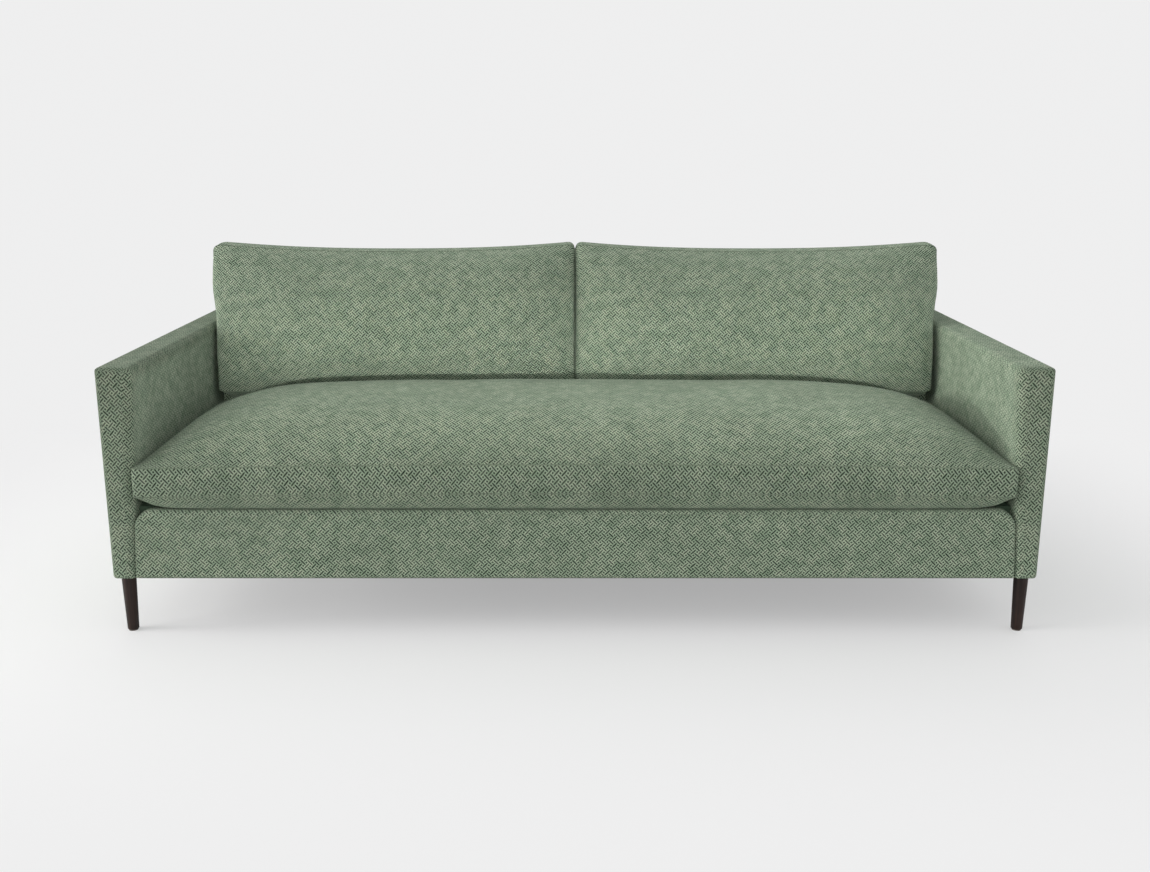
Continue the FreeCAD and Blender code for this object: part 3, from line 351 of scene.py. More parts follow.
def prism_shell(corners, radii, low, high, front_radii, rear_radii, spacing, sign=1, place=None,
                arc_steps=6, edge_steps=24, cap_stretch=1.0, cap_rows=5):
    """A rounded prism over a box's depth, straight or put in its place by place(x, z, depth)."""
    length = high.y - low.y
    place = place or (lambda x, z, depth: (sign * x, low.y + depth, z))
    shell = Shell()
    stations = depth_stations(length, max(front_radii), max(rear_radii), spacing)
    around = run_length(outline_ring(corners, radii, [0.0] * len(corners), arc_steps, edge_steps))
    along = run_length([(depth, rounded_inset(depth, max(front_radii))) for depth in stations])
    rings = []
    for depth in stations:
        insets = [
            rounded_inset(depth, front) + rounded_inset(length - depth, rear)
            for front, rear in zip(front_radii, rear_radii)
        ]
        rings.append(outline_ring(corners, radii, insets, arc_steps, edge_steps))
    grid = np.array([[place(x, z, depth) for x, z in ring] for ring, depth in zip(rings, stations)])
    shell.patch(grid, [[(v, u) for u in around] for v in along])
    for end in (0, -1):
        ring = rings[end]
        least, most = ring.min(axis=0), ring.max(axis=0)
        wide, tall = most - least
        inset = CAP_SPINE_INSET * min(wide, tall)
        inner = np.clip(ring, least + inset, most - inset)
        if wide > tall:
            spine = [(x, (least[1] + most[1]) / 2) for x in inner[:, 0]]
        else:
            spine = [(side_middle(ring, level), level) for level in inner[:, 1]]
        placed = np.array([place(x, z, stations[end]) for x, z in spine])
        close_end(shell, grid[end], placed, ring, np.asarray(spine), cap_rows, cap_stretch)
    return shell


def side_middle(ring, level):
    """Middle between the two sides of a ring at a level."""
    crossings = []
    for (ax, az), (bx, bz) in zip(ring[:-1], ring[1:]):
        if (az - level) * (bz - level) <= 0 and az != bz:
            crossings.append(ax + (bx - ax) * (level - az) / (bz - az))
    return (min(crossings) + max(crossings)) / 2


# Materials

class Tree:
    """Short hand for the nodes of a new material or world."""

    def __init__(self, name, owners=bpy.data.materials):
        self.owner = owners.new(name)
        self.owner.use_nodes = True
        self.nodes = self.owner.node_tree.nodes

    def feed(self, node, *sources, **named):
        """Set a node's first sockets in turn, and others by name, with _ for a space."""
        pairs = list(zip(node.inputs, sources))
        pairs += [(node.inputs[name.replace("_", " ")], source) for name, source in named.items()]
        for socket, source in pairs:
            if isinstance(source, bpy.types.NodeSocket):
                self.owner.node_tree.links.new(source, socket)
            elif source is not None:
                socket.default_value = source

    def add(self, kind, *sources, output=0, **named):
        """An output of a new node. Names in small letters are its settings, others its sockets."""
        node = self.nodes.new("ShaderNode" + kind)
        for name in filter(str.islower, list(named)):
            setattr(node, name, named.pop(name))
        self.feed(node, *sources, **named)
        return node.outputs[output]

    def math(self, operation, *sources):
        return self.add("Math", *sources, operation=operation)

    def cloth(self):
        return self.add("UVMap", uv_map="cloth")

    def place(self):
        return self.add("TexCoord", output="Object")

    def scaled(self, vector, factor):
        return self.add("VectorMath", vector, factor, operation="MULTIPLY")

    def shifted(self, vector, other):
        return self.add("VectorMath", vector, other, operation="ADD")

    def split(self, vector):
        return self.add("SeparateXYZ", vector, output=slice(3))

    def grain(self, vector, scale, detail=2.0, roughness=0.5, output="Fac"):
        return self.add("TexNoise", vector, output=output, Scale=scale, Detail=detail, Roughness=roughness)

    def cells(self, vector, scale, chance=1.0):
        return self.add("TexVoronoi", vector, Scale=scale, Randomness=chance)

    def threads(self, vector, factor):
        """Fine crossed waves, as of plain woven threads."""
        x, y = self.split(self.scaled(vector, (factor, factor, factor)))[:2]
        return self.math("MULTIPLY", self.math("SINE", x), self.math("SINE", y))

    def span(self, source, low, high, to_low, to_high, smooth=False):
        kind = "SMOOTHSTEP" if smooth else "LINEAR"
        return self.add("MapRange", source, low, high, to_low, to_high, interpolation_type=kind)

    def mix(self, share, first, second, blend="MIX"):
        """A blend of two colours, whose sockets are the node's seventh and eighth."""
        sources = (share, *[None] * 5, first, second)
        return self.add("Mix", *sources, output=2, data_type="RGBA", blend_type=blend)

    def blotched(self, source, first, second, low=0.3, high=0.7, most=1.0):
        """The first colour, going over to the second where the source is high."""
        return self.mix(self.span(source, low, high, 0.0, most), first, second)

    def bump(self, height, distance):
        return self.add("Bump", Strength=1.0, Distance=distance, Height=height)

    def apart(self, output, plain, seen):
        """Show the camera another surface than all other rays meet."""
        by_camera = self.add("LightPath", output="Is Camera Ray")
        self.feed(self.nodes[output], Surface=self.add("MixShader", by_camera, plain, seen))
        return self.owner

    def finish(self, color, roughness, normal, **fixed):
        shader = self.nodes["Principled BSDF"]
        self.feed(shader, Base_Color=color, Roughness=roughness, Normal=normal, **fixed)
        return self.owner


def linear(*channels):
    """A display colour from 0 to 255 as the linear colour that a shader takes."""
    shares = [channel / 255 for channel in channels]
    curved = [share / 12.92 if share <= 0.04045 else ((share + 0.055) / 1.055) ** 2.4 for share in shares]
    return (*curved, 1.0)


LIGHT_YARN = linear(170, 187, 162)
PALE_YARN = linear(190, 202, 177)
GREEN_YARN = linear(141, 164, 137)
DARK_YARN = linear(23, 36, 26)
# Colour that the painted shade multiplies the cloth by
PAINTED_SHADE_TINT = (0.62, 0.62, 0.60, 1.0)
SHEEN_TINT = (0.82, 1.0, 0.78, 1.0)
# Shares of the pattern's repeat
MARK_HALF_LENGTH = 0.385
MARK_HALF_WIDTH = 0.079
DOT_RADIUS = 0.112
EDGE_SOFTNESS = 0.035
BAR_WIDTH = 0.11
SLOW_SWAY = 0.5
FRAY = 0.10
# Painted shade on a light yarn beside a mark, and painted highlight in its middle
PAINTED_FLANK_SHADE = 0.66
PAINTED_YARN_HIGHLIGHT = 1.19
WEAVE_RELIEF = 0.0009


def weave():
    """Two-tone herringbone basket weave: light yarns with dark slanted marks and dots between."""
    tree = Tree("green_weave")
    cloth = tree.cloth()

    def sway(scale, detail, amount):
        """A sideways wander of the pattern."""
        aside = tree.shifted(tree.grain(cloth, scale, detail, output="Color"), (-0.5, -0.5, -0.5))
        return tree.scaled(aside, (amount, amount, 0.0))

    cells = tree.scaled(cloth, (1 / WEAVE_REPEAT, 1 / WEAVE_REPEAT, 0.0))
    cells = tree.shifted(cells, sway(9.0, 1.0, SLOW_SWAY))
    cells = tree.shifted(cells, sway(420.0, 2.0, FRAY))
    x, y = tree.split(cells)[:2]

    def around_half(number):
        """Distance from the middle between two whole numbers, to either side."""
        return tree.math("SUBTRACT", tree.math("FRACT", number), 0.5)

    ax, ay = [around_half(tree.math("ADD", number, 0.5)) for number in (x, y)]
    bx, by = around_half(x), around_half(y)

    def length(first, second):
        squares = tree.math("MULTIPLY_ADD", first, first, tree.math("MULTIPLY", second, second))
        return tree.math("SQRT", squares)

    def mark(first, second, falling):
        """Distance from the middle line of a slanted mark, and the place along it."""
        total = tree.math("MULTIPLY", tree.math("ADD", first, second), math.sqrt(0.5))
        difference = tree.math("MULTIPLY", tree.math("SUBTRACT", first, second), math.sqrt(0.5))
        along, across = (difference, total) if falling else (total, difference)
        beyond = tree.math("SUBTRACT", tree.math("ABSOLUTE", along), MARK_HALF_LENGTH)
        return length(tree.math("MAXIMUM", beyond, 0.0), across), along

    falling, falling_along = mark(ax, ay, True)
    rising, rising_along = mark(bx, by, False)
    dots = tree.math("MINIMUM", length(bx, ay), length(ax, by))
    nearest = tree.math("MINIMUM", falling, rising)
    marks = tree.math("SUBTRACT", nearest, MARK_HALF_WIDTH)
    marks = tree.math("MINIMUM", marks, tree.math("SUBTRACT", dots, DOT_RADIUS))
    dark = tree.span(marks, -EDGE_SOFTNESS, EDGE_SOFTNESS, 1.0, 0.0, smooth=True)
    crossing = tree.math("SUBTRACT", tree.math("MAXIMUM", falling, rising), nearest)
    falls = tree.math("LESS_THAN", falling, rising)

    def choose(first, second):
        """The first number where a falling mark is nearest, the second elsewhere."""
        return tree.math("MULTIPLY_ADD", tree.math("SUBTRACT", first, second), falls, second)

    def chance(shift):
        """A random number for each cell of the pattern."""
        moved = tree.shifted(cells, (shift, shift, 0.0))
        whole = tree.add("VectorMath", moved, operation="FLOOR")
        drawn = tree.shifted(whole, (0.0, 0.0, 7.0 * shift))
        return tree.add("TexWhiteNoise", drawn, noise_dimensions="3D")

    luck = choose(chance(0.5), chance(0.0))
    twist = tree.math("SINE", tree.math("MULTIPLY", choose(falling_along, rising_along), 50.0))
    patches = tree.grain(tree.scaled(cloth, (26.0, 40.0, 1.0)), 1.0, 3.0, 0.6)
    lots = tree.grain(cloth, 5.0, 2.0)
    yarn = tree.mix(tree.span(patches, 0.38, 0.66, 0.0, 0.6, smooth=True), LIGHT_YARN, GREEN_YARN)
    yarn = tree.blotched(luck, yarn, PALE_YARN, 0.5, 1.0, 0.9)
    # Painted highlight along the middle of each light yarn, painted shade at its edges and where bars cross,
    # painted ridges along its twist; lots adds a random tone
    yarn_light_and_tone = tree.span(marks, 0.0, BAR_WIDTH, PAINTED_FLANK_SHADE, PAINTED_YARN_HIGHLIGHT, smooth=True)
    painted_light_and_tone_factors = (
        tree.span(crossing, 0.0, 0.09, PAINTED_FLANK_SHADE, 1.0, smooth=True),
        tree.math("MULTIPLY_ADD", twist, 0.05, 1.0),
        tree.span(lots, 0.3, 0.7, 0.95, 1.05),
    )
    for other in painted_light_and_tone_factors:
        yarn_light_and_tone = tree.math("MULTIPLY", yarn_light_and_tone, other)
    yarn = tree.mix(1.0, yarn, tree.add("CombineColor", yarn_light_and_tone, yarn_light_and_tone, yarn_light_and_tone), blend="MULTIPLY")
    depth = tree.math("MULTIPLY", dark, tree.span(luck, 0.0, 0.6, 1.0, 0.80))
    color = tree.mix(depth, yarn, DARK_YARN)
    # Painted shade: the cloth is darkened by the per-point share set on the arms and the seat cushion
    painted_shade_share = tree.add("Attribute", attribute_name="painted_shade", output="Fac")
    color = tree.mix(painted_shade_share, color, PAINTED_SHADE_TINT, blend="MULTIPLY")
    fluff = tree.grain(cloth, 1100.0, 3.0, 0.7)
    height = tree.math("MULTIPLY_ADD", fluff, 0.35, tree.math("MULTIPLY", dark, -1.0))
    height = tree.math("ADD", height, tree.span(crossing, 0.0, 0.07, -0.3, 0.0))
    normal = tree.bump(tree.math("MULTIPLY_ADD", twist, 0.08, height), WEAVE_RELIEF)
    roughness = tree.span(fluff, 0.3, 0.7, 0.86, 0.98)
    return tree.finish(
        color, roughness, normal, Diffuse_Roughness=1.0, Specular_IOR_Level=0.2,
        Sheen_Weight=0.08, Sheen_Roughness=0.5, Sheen_Tint=SHEEN_TINT
    )


def lining():
    """Plain green platform cloth, a fine tabby weave."""
    tree = Tree("lining")
    threads = tree.threads(tree.cloth(), math.tau / 0.0016)
    color = tree.blotched(tree.grain(tree.cloth(), 22.0, 3.0), linear(86, 108, 88), linear(104, 124, 102))
    color = tree.blotched(threads, color, linear(58, 76, 62), -1.0, 1.0, 0.35)
    return tree.finish(color, 0.92, tree.bump(threads, 0.0002), Specular_IOR_Level=0.2)


def dust_cloth():
    """Black non-woven cloth with pressed dots."""
    tree = Tree("dust_cloth")
    dots = tree.cells(tree.cloth(), 420.0, 0.25)
    fibres = tree.grain(tree.cloth(), 700.0, 4.0, 0.7)
    color = tree.blotched(fibres, linear(22, 22, 24), linear(48, 48, 51))
    color = tree.mix(tree.span(dots, 0.0, 0.25, 0.6, 0.0), color, linear(14, 14, 15))
    height = tree.math("MULTIPLY_ADD", fibres, 0.5, dots)
    return tree.finish(color, 0.88, tree.bump(height, 0.0003), Specular_IOR_Level=0.3)


def wood(name, dark, light, rings, roughness, coat, gleam):
    """Timber with grain along its own length."""
    tree = Tree(name)
    place = tree.place()
    bend = tree.scaled(tree.grain(place, 6.0, 2.0, output="Color"), (0.6, 0.6, 0.6))
    fibres = tree.grain(tree.shifted(tree.scaled(place, rings), bend), 1.0, 6.0, 0.65)
    pores = tree.grain(tree.scaled(place, tuple(6 * part for part in rings)), 1.0, 3.0)
    color = tree.mix(tree.span(fibres, 0.3, 0.7, 0.0, 1.0, smooth=True), dark, light)
    color = tree.blotched(pores, color, dark, 0.55, 0.75, 0.45)
    normal = tree.bump(tree.math("MULTIPLY_ADD", pores, 0.5, fibres), 0.00025)
    gloss = tree.span(pores, 0.3, 0.7, roughness - 0.05, roughness + 0.08)
    return tree.finish(
        color, gloss, normal, Coat_Weight=coat, Coat_Roughness=0.25, Specular_IOR_Level=gleam
    )


def foam():
    """Open-cell foam, cream, with painted shade in its fine pores."""
    tree = Tree("foam")
    pores = tree.cells(tree.place(), 500.0)
    color = tree.blotched(tree.grain(tree.place(), 15.0, 3.0), linear(233, 224, 190), linear(240, 233, 206))
    # Painted shade in the pores
    color = tree.mix(tree.span(pores, 0.0, 0.5, 0.35, 0.0), color, linear(190, 178, 140))
    return tree.finish(color, 0.95, tree.bump(pores, 0.0004))


def webbing():
    """Elastic webbing: dark ribs with lighter fluff of rubber thread."""
    tree = Tree("webbing")
    ribs = tree.threads(tree.place(), 2600.0)
    fluff = tree.grain(tree.place(), 300.0, 3.0)
    color = tree.blotched(ribs, linear(58, 54, 50), linear(98, 92, 84), -1.0, 1.0)
    color = tree.blotched(fluff, color, linear(120, 112, 100), 0.4, 0.7, 0.4)
    return tree.finish(color, 0.85, tree.bump(ribs, 0.0003))


def felt():
    """Pressed grey-brown felt."""
    tree = Tree("felt")
    fibres = tree.grain(tree.place(), 900.0, 5.0, 0.75)
    color = tree.blotched(fibres, linear(66, 60, 54), linear(122, 114, 104))
    return tree.finish(color, 0.97, tree.bump(fibres, 0.0006), Sheen_Weight=0.2)


def zinc():
    """Zinc-plated steel with fine turning marks."""
    tree = Tree("zinc_steel")
    marks = tree.grain(tree.scaled(tree.place(), (300.0, 300.0, 2400.0)), 1.0, 3.0)
    tarnish = tree.grain(tree.place(), 60.0, 4.0)
    color = tree.blotched(tarnish, linear(176, 178, 176), linear(206, 206, 200))
    gloss = tree.span(marks, 0.3, 0.7, 0.28, 0.45)
    return tree.finish(color, gloss, tree.bump(marks, 0.0001), Metallic=1.0)


# Darker and lighter colour, grain, roughness, coat and gleam
timbers = {
    "leg_timber": (linear(15, 8, 6), linear(46, 28, 20), (90.0, 90.0, 4.0), 0.42, 0.05, 0.3),
    "frame_timber": (linear(178, 142, 96), linear(214, 184, 138), (12.0, 60.0, 60.0), 0.62, 0.0, 0.5),
    "hardboard": (linear(104, 76, 50), linear(132, 98, 66), (160.0, 160.0, 160.0), 0.7, 0.0, 0.5),
}
materials = {name: wood(name, *look) for name, look in timbers.items()}
materials |= {
    "green_weave": weave(),
    "lining": lining(),
    "dust_cloth": dust_cloth(),
    "foam": foam(),
    "webbing": webbing(),
    "felt": felt(),
    "zinc_steel": zinc(),
}
for part in frame["record"]["subparts"]:
    node = frame["nodes"][part["node"]]
    if not node.material_slots:
        node.data.materials.append(None)
    for holder in node.material_slots:
        holder.material = materials[part["material_slot"]]


# Legs

LEG_TOP_RADIUS = 0.0175
LEG_FOOT_RADIUS = 0.0135
LEG_FOOT_CHAMFER = 0.0015
LEG_SIDES = 48


def leg_pair(end):
    """Two turned legs of one end, with a softened foot."""
    low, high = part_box("legs_" + end)
    shell = Shell()
    taper = [(0.0, low.z), (LEG_FOOT_RADIUS - LEG_FOOT_CHAMFER, low.z)]
    taper += straight((LEG_FOOT_RADIUS, low.z + LEG_FOOT_CHAMFER), (LEG_TOP_RADIUS, high.z), 12)
    taper.append((0.0, high.z))
    flat = [[(turn / LEG_SIDES, level) for turn in range(LEG_SIDES + 1)] for radius, level in taper]
    for sign in SIDES.values():
        axis = RIGHT * sign * (high.x - LEG_TOP_RADIUS) + BACK * (low.y + high.y) / 2
        grid = [circle(axis + UP * level, RIGHT, BACK, radius, LEG_SIDES) for radius, level in taper]
        shell.patch(grid, flat)
    piece = shell.build("turned_legs_" + end, "root", "leg_timber", sharp=0.6)
    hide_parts("legs_" + end)


for end in ("front", "rear"):
    leg_pair(end)


# Arms

ARM_FRONT_INNER_RADIUS = 0.020
# Section's corners: outer foot, outer top, inner top, inner foot
ARM_CORNER_RADII = (0.009, 0.009, 0.017, 0.004)
# Ends' edges: outer face, top, inner face, underside
ARM_FRONT_RADII = (0.009, 0.009, ARM_FRONT_INNER_RADIUS, 0.006)
ARM_REAR_RADII = (0.006, 0.006, 0.004, 0.004)
ARM_TOP_FILL = 0.002
ARM_CAP_STRETCH = 1.1
# Painted shade on the arms: the left arm's top much darker than the right's, and the fronts darker towards
# the top
ARM_TOP_PAINTED_SHADE = {"left": 0.70, "right": 0.05}
ARM_TOP_PAINTED_SHADE_REACH = 0.02
ARM_FRONT_PAINTED_SHADE = 0.85
ARM_FRONT_PAINTED_SHADE_REACH = 0.05


def arm(side):
    """One arm's cover: a leaning wedge with soft edges and a slightly filled top."""
    top = arm_high.z + ARM_TOP_FILL
    corners = [
        (arm_high.x, arm_low.z),
        (arm_high.x, top),
        (arm_inner(top), top),
        (arm_high.x - ARM_FOOT_WIDTH, arm_low.z),
    ]
    shell = prism_shell(
        corners, ARM_CORNER_RADII, arm_low, arm_high, ARM_FRONT_RADII, ARM_REAR_RADII,
        spacing=0.03, sign=SIDES[side], cap_stretch=ARM_CAP_STRETCH
    )
    piece = shell.build("arm_upholstery_" + side, "root", "green_weave")
    top_painted_shade = ARM_TOP_PAINTED_SHADE[side]
    front_painted_shade = ARM_FRONT_PAINTED_SHADE + (1 - ARM_FRONT_PAINTED_SHADE) * top_painted_shade

    # Painted shade on this arm: on its front, growing towards the top, and over its whole top
    def painted_shade_on_arm(spot):
        climb = (spot.z - arm_low.z) / (arm_high.z - arm_low.z)
        front = max(0.0, 1 - (spot.y - arm_low.y) / ARM_FRONT_PAINTED_SHADE_REACH) * front_painted_shade * climb
        on_top = spot.z > arm_high.z - ARM_TOP_PAINTED_SHADE_REACH
        return max(front, top_painted_shade if on_top else 0.0)

    set_painted_shade(piece, painted_shade_on_arm)
    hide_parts("arm_cover_" + side, "arm_padding_" + side)


for side in SIDES:
    arm(side)


# Front border, deck, backs and dust cover

BORDER_CORNER_RADII = (0.002, 0.002, 0.042, 0.042)
# Front edges: foot, right, top, left
BORDER_FRONT_RADII = (0.006, 0.003, 0.009, 0.003)
CLOTH_ROWS = 12
CLOTH_COLUMNS = 60
PLATFORM_FALL = 0.05
DUST_COVER_SAG = 0.002
BACK_CORNER_RADII = (0.002, 0.002, 0.004, 0.010, 0.010, 0.004)
# Front edges of the inside back: foot, right, right above the arm, top, and the left two
INSIDE_BACK_FRONT_RADII = (0.004, 0.002, 0.002, 0.012, 0.002, 0.002)
OUTSIDE_BACK_EDGE = 0.0015
OUTSIDE_BACK_WELT = 0.0016
OUTSIDE_BACK_WELT_INSET = 0.001
STAPLE_INSET = 0.012
STAPLE_SPACING = 0.055
STAPLE_WIDTH = 0.011
STAPLE_WIRE = 0.0012
STAPLE_BEND = 0.75
STAPLE_DEPTH = 1.5
STAPLE_SLANT = 0.35


def front_border():
    """The upholstered board under the seat cushion, with rounded upper corners."""
    foot = arm_inner(border_low.z)
    top = arm_inner(border_high.z)
    corners = [(-foot, border_low.z), (foot, border_low.z), (top, border_high.z), (-top, border_high.z)]
    shell = prism_shell(
        corners, BORDER_CORNER_RADII, border_low, border_high, BORDER_FRONT_RADII, [0.0] * 4,
        spacing=0.012, arc_steps=8, edge_steps=60, cap_rows=8
    )
    piece = shell.build("front_border_upholstery", "root", "green_weave")
    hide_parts("front_border_cover")


def flat_cloth(name, node, slot, edge, sag=0.0, fall=0.0):
    """A thin cloth in the place of a node, whose half width follows edge(level)."""
    low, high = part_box(node)
    shell = Shell()
    sheets = []
    for level in (high.z, low.z):
        wide = edge(level)
        x, y = np.meshgrid(
            np.linspace(-wide, wide, CLOTH_COLUMNS + 1), np.linspace(low.y, high.y, CLOTH_ROWS + 1)
        )
        share = (y - low.y) / (high.y - low.y)
        hang = sag * np.sin(math.pi * share) * np.cos(math.pi / 2 * x / wide)
        sheets.append(np.stack([x, y, level - hang], axis=2))
        shell.patch(sheets[-1], np.stack([x, y], axis=2))
    if fall:
        across = np.linspace(-edge(high.z), edge(high.z), CLOTH_COLUMNS + 1)
        x, z = np.meshgrid(across, np.linspace(high.z, high.z - fall, 7))
        for front_y in (low.y, low.y - COVER / 4):
            shell.patch(np.stack([x, np.full_like(x, front_y), z], axis=2), np.stack([x, z], axis=2))
    rims = [(sheet[0], sheet[-1], sheet[:, 0], sheet[:, -1]) for sheet in sheets]
    for upper, lower in zip(*rims):
        shell.patch([upper, lower], [[(0.0, 0.0)] * len(upper), [(0.0, COVER)] * len(upper)])
    piece = shell.build(name, "root", slot, sharp=0.8)
    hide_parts(node)


def back_outline(low, high):
    """Front outline of the back: it leans with the arms and rises straight above them."""
    right = [(high.x, low.z), (arm_low.x, arm_high.z), (arm_low.x, high.z)]
    left = [(-x, z) for x, z in right]
    return [left[0], *right, left[2], left[1]]


def outside_back():
    """The upright outside back between the arms, with a welt round its edge."""
    corners = back_outline(rear_low, rear_high)
    shell = prism_shell(
        corners, BACK_CORNER_RADII, rear_low, rear_high, [0.0] * 6, [OUTSIDE_BACK_EDGE] * 6,
        spacing=0.003, cap_rows=10
    )
    edge = outline_ring(corners, BACK_CORNER_RADII, [OUTSIDE_BACK_WELT_INSET] * 6, 6, 40)
    welt = [(x, rear_high.y - OUTSIDE_BACK_EDGE, z) for x, z in edge[:-1]]
    tube(shell, welt, OUTSIDE_BACK_WELT)
    piece = shell.build("outside_back_cloth", "root", "green_weave", sharp=0.8)
    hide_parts("outside_back_cover")


def inside_back_cloth():
    """The raked inside back and the top of the back, as one padded form."""
    def place(x, z, depth):
        face = inside_back(z)
        return x, face + (back_high.y - face) * depth / (back_high.y - back_low.y), z

    shell = prism_shell(
        back_outline(back_low, back_high), BACK_CORNER_RADII, back_low, back_high,
        INSIDE_BACK_FRONT_RADII, [0.0] * 6, spacing=0.02, place=place, cap_rows=10
    )
    piece = shell.build("inside_back_upholstery", "root", "green_weave")
    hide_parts("inside_back_cover")


def staple(shell, x, y, turn):
    """One staple of round wire whose ends go up into the cloth."""
    along = RIGHT * math.cos(turn) + BACK * math.sin(turn)
    aside = UP.cross(along)
    centre = Vector((x, y, dust_low.z - STAPLE_WIRE / 2))
    rows = []
    for step in range(9):
        share = step / 4 - 1
        bent = max(abs(share) - STAPLE_BEND, 0.0) / (1 - STAPLE_BEND)
        spine = centre + along * STAPLE_WIDTH / 2 * share + UP * STAPLE_WIRE * STAPLE_DEPTH * bent
        rows.append(circle(spine, aside, UP, STAPLE_WIRE / 2, 6))
    shell.patch(rows, [[(side / 6, step / 8) for side in range(7)] for step in range(9)])
    for row in (rows[0], rows[-1]):
        hub = [sum(row[:-1], Vector()) / 6] * 7
        shell.patch([row, hub], [[(0.0, 0.0)] * 7] * 2)


def dust_cover_staples():
    """Steel staples along the dust cover's edge, each a little askew."""
    wide, deep = dust_high.x - STAPLE_INSET, (dust_high.y - dust_low.y) / 2 - STAPLE_INSET
    middle = (dust_high.y + dust_low.y) / 2
    near, far = middle - deep, middle + deep
    places = []
    for sign in SIDES.values():
        y = middle + sign * deep
        row = straight((-wide, y), (wide, y), round(2 * wide / STAPLE_SPACING))
        places += [(x, y, 0.0) for x, y in row]
        row = straight((sign * wide, near), (sign * wide, far), round(2 * deep / STAPLE_SPACING))
        places += [(x, y, math.pi / 2) for x, y in row[1:-1]]
    shell = Shell()
    for index, (x, y, turn) in enumerate(places):
        staple(shell, x, y, turn + STAPLE_SLANT * math.sin(7.0 * index))
    shell.build("dust_cover_staples", "root", "zinc_steel")


front_border()
flat_cloth("platform_cloth", "deck_cloth", "lining", arm_inner, fall=PLATFORM_FALL)
flat_cloth("dust_cover_cloth", "dust_cover", "dust_cloth", lambda level: dust_high.x, sag=DUST_COVER_SAG)
dust_cover_staples()
inside_back_cloth()
outside_back()


# Unevenness of the cushions' cloth: sizes of the waves, how far they reach, and heights

FINE_SIZE, FINE_REACH, FINE_HEIGHT = 0.016, 0.010, 0.0011
GATHER_SIZE, GATHER_MIDDLE, GATHER_REACH, GATHER_HEIGHT = 0.045, 0.02, 0.03, 0.0016
SETTLE_SIZE, SETTLE_START, SETTLE_HEIGHT = 0.17, 0.07, 0.0030
SEAM_HOLD = 0.004


def pucker(spot, from_seam, seed):
    """Gathers of the cloth beside a seam, and the slow unevenness of feathers further in."""
    fine = ripple(spot, FINE_SIZE, seed) * math.exp(-from_seam / FINE_REACH) * FINE_HEIGHT
    from_middle = abs(from_seam - GATHER_MIDDLE)
    gathers = ripple(spot, GATHER_SIZE, seed + 1) * math.exp(-from_middle / GATHER_REACH) * GATHER_HEIGHT
    settle = ripple(spot, SETTLE_SIZE, seed + 2) * SETTLE_HEIGHT * min(from_seam / SETTLE_START, 1.0)
    return (fine + gathers + settle) * min(from_seam / SEAM_HOLD, 1.0)


def soften(grid, run, from_ends, seed, amount=1.0):
    """Move a panel's points along its normals, by nothing on its seams."""
    normals = np.cross(np.gradient(grid, axis=0), np.gradient(grid, axis=1))
    normals /= np.maximum(np.linalg.norm(normals, axis=2, keepdims=True), 1e-12)
    result = grid.copy()
    for row in range(1, grid.shape[0] - 1):
        for column in range(1, grid.shape[1] - 1):
            edge = min(run[column], run[-1] - run[column], from_ends[row])
            push = amount * pucker(grid[row, column], edge, seed)
            result[row, column] += normals[row, column] * push
    return result


# Seat cushion

# Shares of the depth and of the crown's height, from front to rear
CROWN_PATH = [
    (0.0, 0.0), (0.067, 0.425), (0.164, 0.78), (0.30, 0.95),
    (0.486, 1.0), (0.63, 0.90), (0.79, 0.60), (1.0, 0.0),
]
CROWN_STEEPNESS = 7.6
UNDER_STEEPNESS = 40
LEAST_UNDER = 0.3
FRONT_UNDER_RUN = 0.045
REAR_UNDER_RUN = 0.085
SEAT_DROOP = 0.010
SEAT_BORDER_BOW = 0.003
SEAT_CORNER = 0.012
SEAT_COLUMNS, CROWN_ROWS, BORDER_ROWS, UNDER_ROWS, TURN_ROWS = 200, 84, 10, 30, 12
# Seed of the unevenness of each panel, and its share
SEAT_PANELS = {"top": (3, 1.0), "front": (11, 0.6), "rear": (17, 0.6), "under": (23, 0.0)}
BORDER_STRETCH = 1.2
CORNER_SWELL = 0.42
CORNER_SWELL_NEAREST = 0.0012
CORNER_SWELL_STEEPNESS = 31
CORNER_SWELL_BELOW_SEAM = 0.015
CORNER_SWELL_FADE = 0.02
CORE_COVER = 0.007
CORE_EDGE_SLOPE = 0.5
SEAT_END_INSET = 0.02
# Painted shade over the whole seat cushion, a little less towards the rear
SEAT_PAINTED_SHADE = 0.34
SEAT_PAINTED_SHADE_REAR_LOSS = 0.3

seat_seam = seat_low.z + SEAT_UNDER_BULGE + SEAT_BORDER
seat_length = seat_high.y - seat_low.y


def turn_under(reach, high, low, count):
    """Arc from a seam down to a level underside: distances from the seam, and levels."""
    drop = high - low
    radius = (reach ** 2 + drop ** 2) / (2 * drop)
    turn = math.atan2(reach, radius - drop)
    angles = [turn * (1 - step / count) for step in range(count + 1)]
    return [(reach - radius * math.sin(angle), low + radius * (1 - math.cos(angle))) for angle in angles]


